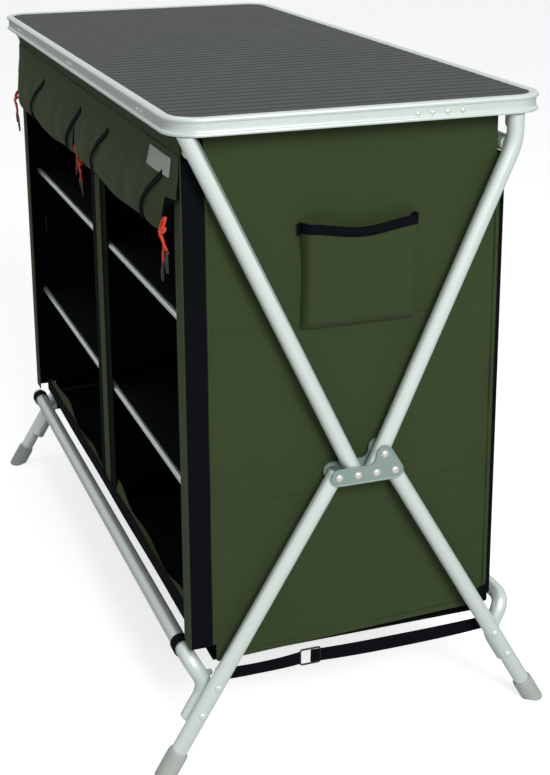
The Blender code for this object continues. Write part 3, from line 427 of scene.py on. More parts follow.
def place_cloth(made, look, nodes=(), slot=None, lining=None):
    """A piece of the cloth body: it rides the back frame, with a mesh of its own."""
    place_piece(made, "back_frame", look, nodes, slot, lining)
    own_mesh(made)


# Materials


def shader_group(name, inputs, outputs):
    """An empty shader node group with the given sockets, and its input and output nodes."""
    group = bpy.data.node_groups.new(name, "ShaderNodeTree")
    for label, kind, value in inputs:
        socket = group.interface.new_socket(label, in_out="INPUT", socket_type=kind)
        if value is not None:
            socket.default_value = value
    for label, kind in outputs:
        group.interface.new_socket(label, in_out="OUTPUT", socket_type=kind)
    return group, group.nodes.new("NodeGroupInput"), group.nodes.new("NodeGroupOutput")


def maths(tree, operation, first, second=None, clamp=False):
    node = tree.nodes.new("ShaderNodeMath")
    node.operation = operation
    node.use_clamp = clamp
    for socket, value in zip(node.inputs, (first, second)):
        if value is None:
            continue
        if isinstance(value, (int, float)):
            socket.default_value = value
        else:
            tree.links.new(value, socket)
    return node.outputs[0]


def noise(tree, vector, scale, detail=3.0, roughness=0.5):
    node = tree.nodes.new("ShaderNodeTexNoise")
    node.inputs["Scale"].default_value = scale
    node.inputs["Detail"].default_value = detail
    node.inputs["Roughness"].default_value = roughness
    tree.links.new(vector, node.inputs["Vector"])
    return node.outputs["Fac"]


def stretched(tree, vector, scale):
    node = tree.nodes.new("ShaderNodeMapping")
    node.inputs["Scale"].default_value = scale
    tree.links.new(vector, node.inputs["Vector"])
    return node.outputs["Vector"]


def weave_group():
    """Woven cloth: crossed threads with slubs. Height is for a bump, Shade is 0 to 1 for the colour."""
    if "woven_threads" in bpy.data.node_groups:
        return bpy.data.node_groups["woven_threads"]
    inputs = [("Place", "NodeSocketVector", None), ("Pitch", "NodeSocketFloat", 0.0009)]
    inputs.append(("Slub", "NodeSocketFloat", 0.5))
    outputs = [("Height", "NodeSocketFloat"), ("Shade", "NodeSocketFloat")]
    group, given, put = shader_group("woven_threads", inputs, outputs)
    split = group.nodes.new("ShaderNodeSeparateXYZ")
    group.links.new(given.outputs["Place"], split.inputs[0])
    turn = maths(group, "DIVIDE", 2 * math.pi, given.outputs["Pitch"])
    warp = maths(group, "SINE", maths(group, "MULTIPLY", split.outputs["X"], turn))
    weft = maths(group, "SINE", maths(group, "MULTIPLY", split.outputs["Y"], turn))
    threads = maths(group, "MULTIPLY", warp, weft)
    long_slub = noise(group, stretched(group, given.outputs["Place"], (60.0, 900.0, 1.0)), 1.0, 2.0)
    cross_slub = noise(group, stretched(group, given.outputs["Place"], (900.0, 60.0, 1.0)), 1.0, 2.0)
    slubs = maths(group, "ADD", long_slub, cross_slub)
    uneven = maths(group, "MULTIPLY", maths(group, "SUBTRACT", slubs, 1.0), given.outputs["Slub"])
    height = maths(group, "ADD", maths(group, "MULTIPLY", threads, 0.35), uneven)
    group.links.new(height, put.inputs["Height"])
    group.links.new(maths(group, "ADD", maths(group, "MULTIPLY", uneven, 0.8), 0.5, clamp=True), put.inputs["Shade"])
    return group


def grain_group():
    """Fine satin grain of coated metal or moulded plastic: Shade for the colour and Height for a bump."""
    if "satin_grain" in bpy.data.node_groups:
        return bpy.data.node_groups["satin_grain"]
    inputs = [("Place", "NodeSocketVector", None), ("Size", "NodeSocketFloat", 0.002)]
    outputs = [("Height", "NodeSocketFloat"), ("Shade", "NodeSocketFloat")]
    group, given, put = shader_group("satin_grain", inputs, outputs)
    scale = group.nodes.new("ShaderNodeVectorMath")
    scale.operation = "SCALE"
    group.links.new(given.outputs["Place"], scale.inputs[0])
    group.links.new(maths(group, "DIVIDE", 1.0, given.outputs["Size"]), scale.inputs["Scale"])
    fine = noise(group, scale.outputs[0], 1.0, 4.0, 0.6)
    broad = noise(group, given.outputs["Place"], 9.0, 2.0)
    group.links.new(fine, put.inputs["Height"])
    mixed = maths(group, "ADD", maths(group, "MULTIPLY", fine, 0.5), maths(group, "MULTIPLY", broad, 0.5), clamp=True)
    group.links.new(mixed, put.inputs["Shade"])
    return group


def blank_material(name, roughness, metallic=0.0):
    material = bpy.data.materials.new(name)
    material.use_nodes = True
    shader = material.node_tree.nodes["Principled BSDF"]
    shader.inputs["Roughness"].default_value = roughness
    shader.inputs["Metallic"].default_value = metallic
    return material, material.node_tree, shader


def colour_between(tree, factor, dark, light):
    node = tree.nodes.new("ShaderNodeMix")
    node.data_type = "RGBA"
    node.inputs["A"].default_value = (*dark, 1)
    node.inputs["B"].default_value = (*light, 1)
    tree.links.new(factor, node.inputs["Factor"])
    return node.outputs["Result"]


def bumped(tree, shader, height, strength, distance):
    bump = tree.nodes.new("ShaderNodeBump")
    bump.inputs["Strength"].default_value = strength
    bump.inputs["Distance"].default_value = distance
    tree.links.new(height, bump.inputs["Height"])
    tree.links.new(bump.outputs["Normal"], shader.inputs["Normal"])


def shaded(colour, factor):
    return tuple(min(channel * factor, 1.0) for channel in colour)


def cloth_material(name, colour, pitch, roughness=0.85, sheen=0.04, spread=0.28, strength=0.35):
    """Woven cloth in one colour, with lighter and darker threads and faint broad wear."""
    material, tree, shader = blank_material(name, roughness)
    place = tree.nodes.new("ShaderNodeUVMap")
    place.uv_map = "metres"
    weave = tree.nodes.new("ShaderNodeGroup")
    weave.node_tree = weave_group()
    weave.inputs["Pitch"].default_value = pitch
    tree.links.new(place.outputs["UV"], weave.inputs["Place"])
    coordinates = tree.nodes.new("ShaderNodeTexCoord")
    broad = noise(tree, coordinates.outputs["Object"], 7.0, 3.0, 0.55)
    from_weave = maths(tree, "MULTIPLY", weave.outputs["Shade"], 0.55)
    mixed = maths(tree, "ADD", from_weave, maths(tree, "MULTIPLY", broad, 0.45))
    colour_out = colour_between(tree, mixed, shaded(colour, 1 - spread), shaded(colour, 1 + spread))
    tree.links.new(colour_out, shader.inputs["Base Color"])
    bumped(tree, shader, weave.outputs["Height"], strength, 0.0004)
    shader.inputs["Sheen Weight"].default_value = sheen
    shader.inputs["Sheen Roughness"].default_value = 0.5
    shader.inputs["Specular IOR Level"].default_value = 0.2 if max(colour) > 0.02 else 0.04
    return material


def hard_material(name, colour, roughness, metallic, grain=0.002, spread=0.08, strength=0.05):
    """Coated metal or moulded plastic with a fine grain in its colour, gloss and surface."""
    material, tree, shader = blank_material(name, roughness, metallic)
    coordinates = tree.nodes.new("ShaderNodeTexCoord")
    satin = tree.nodes.new("ShaderNodeGroup")
    satin.node_tree = grain_group()
    satin.inputs["Size"].default_value = grain
    tree.links.new(coordinates.outputs["Object"], satin.inputs["Place"])
    shade = satin.outputs["Shade"]
    tree.links.new(
        colour_between(tree, shade, shaded(colour, 1 - spread), shaded(colour, 1 + spread)), shader.inputs["Base Color"]
    )
    rough = maths(tree, "ADD", maths(tree, "MULTIPLY", shade, 0.16), roughness - 0.08)
    tree.links.new(rough, shader.inputs["Roughness"])
    bumped(tree, shader, satin.outputs["Height"], strength, 0.0002)
    return material


MADE = {}


def finish(name):
    """The material of that name, made at its first use."""
    if name in MADE:
        return MADE[name]
    tint = colours()
    thread = sizes().thread
    makers = {
        "green_cloth": lambda: cloth_material("green_cloth", tint.cloth, thread),
        # The header is the green cloth darkened to 0.85: painted shade under the table's rail.
        "header_cloth_painted_shade": lambda: cloth_material("header_cloth_painted_shade", shaded(tint.cloth, 0.85), thread),
        "webbing": lambda: cloth_material("black_webbing", tint.webbing, thread * 1.8, 0.8, 0.0, 0.35, 0.5),
        "lining": lambda: cloth_material("black_lining", tint.lining, thread, 0.85, 0.0),
        "aluminium": lambda: hard_material("satin_aluminium", tint.frame_metal, 0.36, 0.30, 0.0012, 0.04),
        "rim": lambda: hard_material("rim_aluminium", shaded(tint.frame_metal, 0.94), 0.36, 0.30, 0.0012, 0.04),
        "hub": lambda: hard_material("hub_coating", tint.hub, 0.42, 0.35, 0.0015),
        "rivet": lambda: hard_material("rivet_metal", (0.74, 0.73, 0.66), 0.34, 0.45, 0.0008),
        "slats": lambda: hard_material("dark_slats", tint.slats, 0.72, 0.0, 0.004, 0.16, 0.12),
        "plug": lambda: hard_material("plug_plastic", (0.115, 0.15, 0.165), 0.45, 0.0, 0.0009, 0.1, 0.1),
        "foot": lambda: hard_material("foot_plastic", (0.50, 0.54, 0.50), 0.5, 0.0, 0.0009, 0.06, 0.1),
        "black_plastic": lambda: hard_material("black_plastic", (0.010, 0.011, 0.013), 0.4, 0.0, 0.0009, 0.2, 0.1),
        "cord": lambda: cloth_material("orange_cord", tint.cord, thread * 1.2, 0.6, 0.2, 0.18, 0.5),
        "label": lambda: cloth_material("bare_label", (0.50, 0.60, 0.50), thread * 0.8, 0.6, 0.1, 0.05, 0.3),
    }
    MADE[name] = makers[name]()
    return MADE[name]


# Frame


def rear_path(x):
    """Up from the hub along the leaning back tube, round its bend and straight up to the rim."""
    pivot = np.array([x, TUBE_BACK_Y, PIVOT_Z])
    bend = np.array([x, HINGE_Y, BACK_BEND_Z])
    lean = (bend - pivot) / np.linalg.norm(bend - pivot)
    top = float(high("back_upper_tube_right")[2])
    return smooth_path([pivot - PIVOT_EASE * lean, bend, (x, HINGE_Y, top - 0.0006)], BACK_BEND, 14)


def front_path(x):
    pivot = np.array([x, TUBE_FRONT_Y, PIVOT_Z])
    top = np.array([x, FRONT_TOP_Y, float(high("front_upper_tube_right")[2])])
    lean = (top - pivot) / np.linalg.norm(top - pivot)
    return np.array([pivot - PIVOT_EASE * lean, pivot + lean * 0.2, top - lean * 0.03, top - lean * 0.0062])


def leg_ends(place, x):
    """Pivot and foot of a leg."""
    out = -1 if place == "front" else 1
    pivot_y = LEG_FRONT_Y if place == "front" else LEG_BACK_Y
    return np.array([x, pivot_y, PIVOT_Z]), np.array([x, out * FOOT_Y, 0.004])


def leg_y(place, z):
    pivot, foot = leg_ends(place, 0.0)
    return pivot[1] + (foot[1] - pivot[1]) * (pivot[2] - z) / (pivot[2] - foot[2])


def dome(centre, axis, seat, radius=0.005, height=0.0018, count=20):
    """A domed rivet head, standing at a seat distance out from its centre."""
    axis = np.asarray(axis, float)
    return turned_object("dome", dome_profile(radius, height), np.asarray(centre) + axis * seat, axis, count)


def hub_outline():
    """A long arm round the four pivots with a rounded lobe up the back tube, as points in Y and Z."""
    radius, fillet = 0.0115, 0.010
    lean = rear_path(0)[3] - rear_path(0)[0]
    lean = lean / np.linalg.norm(lean)
    lobe = np.array([TUBE_BACK_Y, PIVOT_Z]) + 0.0262 * lean[1:]

    def arc(centre, size, start, end, steps):
        angle = np.radians(np.linspace(start, end, steps + 1))
        return np.stack([centre[0] + size * np.cos(angle), centre[1] + size * np.sin(angle)], -1)

    back = (LEG_BACK_Y, PIVOT_Z)
    toward = math.degrees(math.atan2(lobe[1] - back[1], lobe[0] - back[0]))
    outline = [arc((LEG_FRONT_Y, PIVOT_Z), radius, 90, 270, 16), arc(back, radius, -90, toward - 90, 12)]
    outline.append(arc(lobe, radius, toward - 90, 180, 14))
    outline.append(arc((lobe[0] - radius - fillet, PIVOT_Z + radius + fillet), fillet, 0, -90, 7))
    return np.concatenate(outline), lobe


def inset(outline, amount):
    """The outline moved inwards by an amount, along the average of the normals of its two edges at each point."""
    ahead = np.roll(outline, -1, 0) - outline
    ahead /= np.maximum(np.linalg.norm(ahead, axis=1, keepdims=True), 1e-9)
    normal = np.stack([-ahead[:, 1], ahead[:, 0]], -1)
    mean = normal + np.roll(normal, 1, 0)
    mean /= np.linalg.norm(mean, axis=1, keepdims=True)
    return outline + mean * amount


def plate_object(name, side, near, far, raised):
    """A pressed hub plate: a flat back, a rounded edge and a lip that stands proud of its sunk face."""
    outline, _ = hub_outline()
    rows = [(near, 0.0005), (near, 0.0), (far - 0.0006, 0.0), (far - 0.0002, 0.0002), (far, 0.0007)]
    if raised:
        rows += [(far, 0.0016), (far - 0.0002, 0.0020), (far - 0.0009, 0.0024)]
    rings = []
    for offset, amount in rows:
        flat = inset(outline, amount)
        rings.append(np.column_stack([np.full(len(flat), side * offset), flat]))
    return rings_object(name, rings)


class CUPBOARD_OT_tubes(bpy.types.Operator):
    """Round tubes of the upper frame, with the bars that join them"""

    bl_idname = "cupboard.tubes"
    bl_label = "Upper frame tubes"

    def execute(self, context):
        for name, side in ENDS:
            node = "back_upper_tube_" + name
            tube = tube_object("rear_tube_" + name, rear_path(side * TUBE_X), TUBE_R, 32)
            place_piece(tube, "back_frame", "aluminium", [node])
            node = "front_upper_tube_" + name
            tube = self.level_top(tube_object("fore_tube_" + name, front_path(side * TUBE_X), TUBE_R, 32))
            place_piece(tube, "front_frame", "aluminium", [node])
        reach = float(high("front_top_bar")[0])
        for name, node, body, y, z in (
            ("fore_bar", "front_top_bar", "front_frame", BAR_Y, BAR_Z),
            ("rear_bar", "back_top_bar", "back_frame", BACK_BAR_Y, BACK_BAR_Z),
        ):
            path = np.linspace((-reach, y, z), (reach, y, z), 5)
            bar = tube_object(name, path, TUBE_R, 28, (0, 0, 1))
            place_piece(bar, body, "aluminium", [node])
        return {"FINISHED"}

    def level_top(self, tube):
        """Slides the upper end's points along the tube on to a level plane just under the rail."""
        points = points_of(tube)
        path = front_path(0)
        lean = (path[-1] - path[0]) / np.linalg.norm(path[-1] - path[0])
        upper = points[:, 2] > path[-1][2] - 0.02
        shift = (RIM_LOW - 0.0006 - points[upper, 2]) / lean[2]
        points[upper] += shift[:, None] * lean
        return set_points(tube, points)


class CUPBOARD_OT_hubs(bpy.types.Operator):
    """Hub plates with their raised lips and five domed rivets"""

    bl_idname = "cupboard.hubs"
    bl_label = "Hub plates"

    def execute(self, context):
        _, lobe = hub_outline()
        near, far = 0.0118, 0.0143
        centres = [(y, PIVOT_Z) for y in (LEG_FRONT_Y, TUBE_FRONT_Y, TUBE_BACK_Y, LEG_BACK_Y)] + [tuple(lobe)]
        for name, side in ENDS:
            outer = plate_object("outer_plate_" + name, side, TUBE_X + near, TUBE_X + far, True)
            place_piece(outer, "back_frame", "hub", ["hub_plate_outer_" + name])
            inner = plate_object("inner_plate_" + name, side, TUBE_X - near, TUBE_X - far, False)
            place_piece(inner, "back_frame", "hub", ["hub_plate_inner_" + name])
            made = []
            for y, z in centres:
                made.append(dome((side * TUBE_X, y, z), (side, 0, 0), far - 0.0009, 0.0052, 0.0027, 24))
                shank = [(-far - 0.0002, 0.0029), (far - 0.0008, 0.0029)]
                made.append(turned_object("shank", shank, (side * TUBE_X, y, z), (side, 0, 0), 16))
            rivets = merged("hub_rivets_" + name, made)
            place_piece(rivets, "back_frame", "rivet")
        return {"FINISHED"}


class CUPBOARD_OT_legs(bpy.types.Operator):
    """Lower legs with end plugs and foot caps, and the crossbars riveted inside them"""

    bl_idname = "cupboard.legs"
    bl_label = "Lower frames"

    def execute(self, context):
        for place, out in (("front", -1), ("back", 1)):
            body = "lower_" + place
            for name, side in ENDS:
                pivot, foot = leg_ends(place, side * TUBE_X)
                up = (pivot - foot) / np.linalg.norm(pivot - foot)
                start, end = pivot + up * 0.0038, foot + up * 0.0077
                leg = tube_object(body + "_tube_" + name, np.linspace(end, start, 9), TUBE_R, 32)
                place_piece(leg, body, "aluminium", [body + "_leg_" + name])
                profile = [(0.0020, TUBE_R * 0.84), (0.0042, TUBE_R * 0.98), (0.0050, TUBE_R * 0.99)]
                profile += [(0.0062, TUBE_R * 0.90), (0.0074, TUBE_R * 0.68), (0.0081, TUBE_R * 0.36), (0.0083, 0.0006)]
                plug = turned_object(body + "_plug_" + name, profile, pivot, up, 28)
                place_piece(plug, body, "plug")
                place_piece(self.cap(body, name, foot, up), body, "foot", [body + "_foot_" + name])
            self.crossbar(place, out)
        return {"FINISHED"}

    def cap(self, body, name, foot, up):
        """A cap turned round the leg and cut level with the floor: rings of it are clamped at the sole's height."""
        sole = float(low(body + "_foot_" + name)[2])
        profile = [(-0.011, 0.0110), (-0.010, 0.0126), (-0.008, 0.0134), (0.004, 0.0135), (0.026, 0.0135)]
        profile += [(0.029, 0.0134), (0.0312, 0.0129), (0.032, 0.0120), (0.0318, 0.0112), (0.026, 0.0112)]
        made = turned_object(body + "_cap_" + name, profile, foot, up, 32)
        points = points_of(made)
        points[:, 2] = np.maximum(points[:, 2], sole)
        return outward(set_points(made, points))

    def crossbar(self, place, out):
        body = "lower_" + place
        arm = (TUBE_X + ARM_X) / 2
        edge = low(body + "_crossbar") if out < 0 else high(body + "_crossbar")
        level_y = float(edge[1]) - out * TUBE_R
        points = []
        for side in (-1, 1):
            straight = [(side * ARM_X, leg_y(place, z), z) for z in (0.062, 0.105)]
            corner = (side * ARM_X, level_y, CROSSBAR_Z)
            points += straight + [corner] if side < 0 else [corner] + straight[::-1]
        path = smooth_path(points, CROSSBAR_BEND, 10)
        ahead = tangents(path)
        # The section's up direction turns with the bar, and is square to the arms and to the middle run
        bar = tube_object(body + "_bar", path, TUBE_R, 32, self.square_to(ahead))
        made = [bar]
        half = 2 * TUBE_R + 0.00025
        for side in (-1, 1):
            for z in (0.1155, 0.0800):
                centre = np.array([side * arm, leg_y(place, z), z])
                for face in (-1, 1):
                    made.append(dome(centre, (face, 0, 0), half - 0.0003))
        name = body + "_crossbar_tube"
        place_piece(merged(name, made), body, "aluminium", [body + "_crossbar"])

    def square_to(self, ahead):
        """An up direction carried along the path, each turned just enough to stay square to it."""
        up = [np.cross(ahead[0], (1.0, 0.0, 0.0))]
        for before, now in zip(ahead, ahead[1:]):
            turn = Vector(before).rotation_difference(Vector(now))
            up.append(np.array(turn @ Vector(up[-1])))
        return np.array(up)


# Table


def rounded_rectangle(half_x, half_y, radius, steps=10):
    """Outline of a rectangle with round corners, anticlockwise, with each straight side cut into short lengths."""
    points = []
    for quarter, (sx, sy) in enumerate(((1, 1), (-1, 1), (-1, -1), (1, -1))):
        angle = np.pi / 2 * (quarter + np.linspace(0, 1, steps + 1))
        centre = np.array([sx * (half_x - radius), sy * (half_y - radius)])
        points.append(centre + radius * np.stack([np.cos(angle), np.sin(angle)], -1))
    return np.concatenate(points)


class CUPBOARD_OT_rim(bpy.types.Operator):
    """Extruded rail round the table top, with its rivets"""

    bl_idname = "cupboard.rim"
    bl_label = "Table rail"

    def execute(self, context):
        # Section of the rail as (distance inwards, height above its lower edge): two rolled beads and a sunk web
        tall = RIM_TOP - RIM_LOW
        section = [
            (0.0030, 0.0000), (0.0012, 0.0004), (0.0003, 0.0013), (0.0000, 0.0026), (0.0003, 0.0039),
            (0.0012, 0.0048), (0.0028, 0.0054), (0.0030, 0.0060), (0.0030, tall - 0.0075), (0.0026, tall - 0.0066),
            (0.0010, tall - 0.0060), (0.0002, tall - 0.0048), (0.0000, tall - 0.0034), (0.0006, tall - 0.0016),
            (0.0022, tall - 0.0004), (0.0046, tall), (0.0080, tall - 0.0002), (0.0104, tall - 0.0008),
            (0.0118, tall - 0.0018), (0.0118, tall - 0.0046), (0.0056, tall - 0.0052), (0.0052, tall - 0.0080),
            (0.0052, 0.0040), (0.0076, 0.0036), (0.0076, 0.0004), (0.0060, 0.0000),
        ]
        rings = []
        for inwards, height in section:
            flat = rounded_rectangle(HALF_LENGTH - inwards, HALF_DEPTH - inwards, RIM_CORNER - inwards, 12)
            rings.append(np.column_stack([flat, np.full(len(flat), RIM_LOW + height)]))
        rail = rings_object("top_rail", np.array(rings), looped=True)
        place_piece(rail, "table", "rim", ["table_rim"])
        made = []
        height = RIM_LOW + 0.0095
        for y in (0.064, 0.083, 0.103, 0.123):
            for side in (-1, 1):
                centre = (side * (HALF_LENGTH - 0.0030), y, height)
                made.append(dome(centre, (side, 0, 0), -0.0002, 0.0036, 0.0022))
        for x in (-0.407, -0.389, -0.009, 0.009, 0.389, 0.407):
            for side in (-1, 1):
                centre = (x, side * (HALF_DEPTH - 0.0030), height)
                made.append(dome(centre, (0, side, 0), -0.0002, 0.0036, 0.0022))
        place_piece(merged("rail_rivets", made), "table", "rivet")
        return {"FINISHED"}


class CUPBOARD_OT_slats(bpy.types.Operator):
    """Rolled dark slats of the table top, their ends following the rail's round corners"""

    bl_idname = "cupboard.slats"
    bl_label = "Table slats"

    def execute(self, context):
        size = sizes()
        inside = 0.0121
        half_x, half_y, radius = HALF_LENGTH - inside, HALF_DEPTH - inside, RIM_CORNER - inside
        pitch = 2 * half_x / size.slat_count
        seat = float(low("table_top")[2])
        made = []
        for number in range(size.slat_count):
            start, end = -half_x + number * pitch, -half_x + (number + 1) * pitch
            gap = size.slat_gap / 2
            x = np.linspace(start + (gap if number else 0), end - (gap if number < size.slat_count - 1 else 0), 13)
            # How far the corner arc draws the slat's end in, at each x
            over = np.clip(np.abs(x) - (half_x - radius), 0, radius)
            reach = half_y - radius + np.sqrt(np.maximum(radius**2 - over**2, 0))
            share = (x - x[0]) / (x[-1] - x[0])
            edge = np.minimum(share, 1 - share) * (x[-1] - x[0])
            lift = 0.0011 * (1 - np.clip(1 - edge / 0.0022, 0, 1) ** 2)
            top = TOP_FACE - 0.0011 + lift
            y = np.linspace(-1, 1, 7)
            grid = np.empty((13, 7, 3))
            grid[..., 0] = x[:, None]
            grid[..., 1] = reach[:, None] * y[None]
            grid[..., 2] = top[:, None]
            made.append(cloth_object("slat", grid, (0, 0, -0.0014)))
        # The sheet under the slats closes the gaps between them
        outline = rounded_rectangle(half_x, half_y, radius, 8)
        rings = [np.column_stack([outline, np.full(len(outline), z)]) for z in (seat, TOP_FACE - 0.0016)]
        made.append(rings_object("bed", rings))
        deck = merged("slat_deck", made)
        place_piece(deck, "table", "slats", ["table_top"])
        return {"FINISHED"}


class CUPBOARD_OT_fittings(bpy.types.Operator):
    """Materials for the hidden fittings whose CAD shape is kept"""

    bl_idname = "cupboard.fittings"
    bl_label = "Kept fittings"

    def execute(self, context):
        kept = {
            "aluminium": [name for name in frame["nodes"] if name.startswith(("table_brace", "table_hinge"))],
            "black_plastic": ["table_rest_left", "table_rest_right"],
            "plug": [name for name in frame["nodes"] if name.startswith("tube_plug")],
        }
        if not kept["aluminium"] or not kept["plug"]:
            raise RuntimeError("the fittings are not in the frame")
        for material, names in kept.items():
            for name in names:
                for slot in frame["nodes"][name].material_slots:
                    slot.material = finish(material)
        return {"FINISHED"}


# Cloth body


def window(value, start, end, soft):
    """1 between start and end, falling smoothly to 0 over the soft distance outside them."""
    rise = np.clip((value - start) / soft + 1, 0, 1)
    fall = np.clip((end - value) / soft + 1, 0, 1)
    both = rise * fall
    return both * both * (3 - 2 * both)


def ridge(value, centre, width):
    """A smooth bump of height 1 about a centre."""
    return np.exp(-(((value - centre) / width) ** 2))


def side_surface(y, z):
    """How far the side cloth is drawn in: three bands of slanting folds that die out at the seams and edges.

    Each band has broad waves on a slanting line, narrow creases that run from the shelf's front corner, and the
    shelf seams pinch the cloth in along a thin line.
    """
    size = sizes()
    across = (y - PANEL_FRONT) / (PANEL_BACK - PANEL_FRONT)
    edge = np.clip(np.minimum(across, 1 - across) / 0.08, 0, 1)
    depth = np.zeros(np.broadcast(y, z).shape)
    seams = [PANEL_LOW + 0.008, SHELF_Z[0], SHELF_Z[1], PANEL_HIGH - 0.030]
    for band, (start, end) in enumerate(zip(seams, seams[1:])):
        up = np.clip((z - start) / (end - start), 0, 1)
        bowl = np.sin(np.pi * up) ** 0.6
        slant = across * 1.15 - up * 0.85 + 0.23 * band
        broad = 0.5 + 0.5 * np.sin(2 * np.pi * (slant * 1.3 + 0.12 * np.sin(3 * up + band)))
        narrow = ridge(np.mod(slant * 2.2 + 0.3 * band, 1.0), 0.5, 0.10) * (0.4 + 0.6 * across)
        second = ridge(np.mod(across * 1.7 + up * 1.1 + 0.4 * band, 1.0), 0.5, 0.07) * (1 - across)
        depth += bowl * (0.62 * broad + 0.30 * narrow + 0.22 * second)
    depth = size.fold_depth * edge * depth
    for seam in SHELF_Z:
        depth += size.seam_pinch * ridge(z, seam - 0.001, 0.0035) * np.clip(edge * 2, 0, 1)
    depth += 0.0011 * ridge(z, PANEL_HIGH - 0.040, 0.004) * edge
    return depth


def side_low(y):
    """The side cloth's lower edge: it rises to the back, and steps up at the front over the crossbar."""
    share = np.clip((y - PANEL_FRONT) / (PANEL_BACK - PANEL_FRONT), 0, 1)
    plain = PANEL_LOW + (0.153 - 0.139) * share
    return np.where(y < STEP_FRONT, STRIP_LOW, plain)


def side_high(y):
    """The side cloth's upper edge: it steps down under the back bar."""
    return np.where(y < STEP_BACK, PANEL_HIGH, BACK_BAR_Z - TUBE_R - 0.001)


class CUPBOARD_OT_sides(bpy.types.Operator):
    """Side walls of green cloth, with piping, bound edges and seams"""

    bl_idname = "cupboard.sides"
    bl_label = "Side walls"

    def execute(self, context):
        # Two columns of points stand close together at each step of the edges
        apart = 0.0001
        front = [PANEL_FRONT, PANEL_FRONT + 0.003, STEP_FRONT - apart]
        back = [STEP_BACK + apart, PANEL_BACK - 0.002, PANEL_BACK]
        y = np.concatenate([front, np.linspace(STEP_FRONT + apart, STEP_BACK - apart, 120), back])
        share = np.linspace(0, 1, 260)
        lowest, highest = side_low(y), side_high(y)
        z = lowest[:, None] + (highest - lowest)[:, None] * share[None]
        for name, side in ENDS:
            spread = np.broadcast_to(y[:, None], z.shape)
            grid = np.stack([side * (PANEL_X - side_surface(spread, z)), spread, z], -1)
            wall = cloth_object("side_wall_" + name, grid, (-side * CLOTH, 0, 0))
            place_cloth(wall, "green_cloth", ["side_panel_" + name], lining=(0, -side))
            self.edges(name, side)
        return {"FINISHED"}

    def edges(self, name, side):
        """Piping up the back edge, a bound hem along the bottom and a corner patch of black webbing."""
        z = np.linspace(0.178, 0.768, 90)
        cord = np.stack([np.full(90, side * (PANEL_X + 0.0004)), np.full(90, PANEL_BACK - 0.0060), z], -1)
        cord[:, 0] += side * 0.0006 * np.sin(z * 41)
        piping = tube_object("back_piping_" + name, cord, 0.0016, 10, (0, 1, 0))
        place_cloth(piping, "green_cloth")
        binding = rings_object(
            "back_binding_" + name,
            carried_rings(
                np.stack(
                    [
                        np.full(60, side * (PANEL_X - 0.0010)),
                        np.full(60, PANEL_BACK + 0.0012),
                        np.linspace(0.166, 0.772, 60),
                    ],
                    -1,
                ),
                rounded_box(0.0052, 0.0050, 0.0016),
                (1, 0, 0),
            ),
        )
        place_cloth(binding, "webbing")
        y = np.linspace(PANEL_FRONT + 0.0070, PANEL_BACK - 0.001, 80)
        bottom = side_low(y) + 0.0030
        hem = np.stack([np.full(80, side * (PANEL_X - 0.0006)), y, bottom], -1)
        hem = rings_object("bottom_hem_" + name, carried_rings(hem, rounded_box(0.0034, 0.0080, 0.0012), (0, 0, 1)))
        place_cloth(hem, "green_cloth")
        grid_y, grid_z = grid_of(np.linspace(0.176, PANEL_BACK, 14), np.linspace(0, 1, 20))
        height = side_low(grid_y) + 0.0005 + grid_z * (0.026 - 0.010 * (PANEL_BACK - grid_y) / 0.02)
        patch = np.stack([np.full(grid_y.shape, side * (PANEL_X + 0.0013)), grid_y, height], -1)
        patch = cloth_object("corner_patch_" + name, patch, (-side * 0.0012, 0, 0))
        place_cloth(patch, "webbing")


def draped_panel(name, x0, x1, y0, y1, z, sag, thickness, columns=60, rows=40):
    """A level panel that sags between its edges: its drop is the product of two sine arches."""
    u, v = grid_of(np.linspace(0, 1, columns), np.linspace(0, 1, rows))
    drop = sag * (np.sin(np.pi * u) * np.sin(np.pi * v)) ** 0.7
    ripple = 0.12 * sag * np.sin(9 * u + 4 * v) * np.sin(np.pi * u) * np.sin(np.pi * v)
    grid = np.stack([x0 + (x1 - x0) * u, y0 + (y1 - y0) * v, z - drop + ripple], -1)
    return cloth_object(name, grid, (0, 0, -thickness))


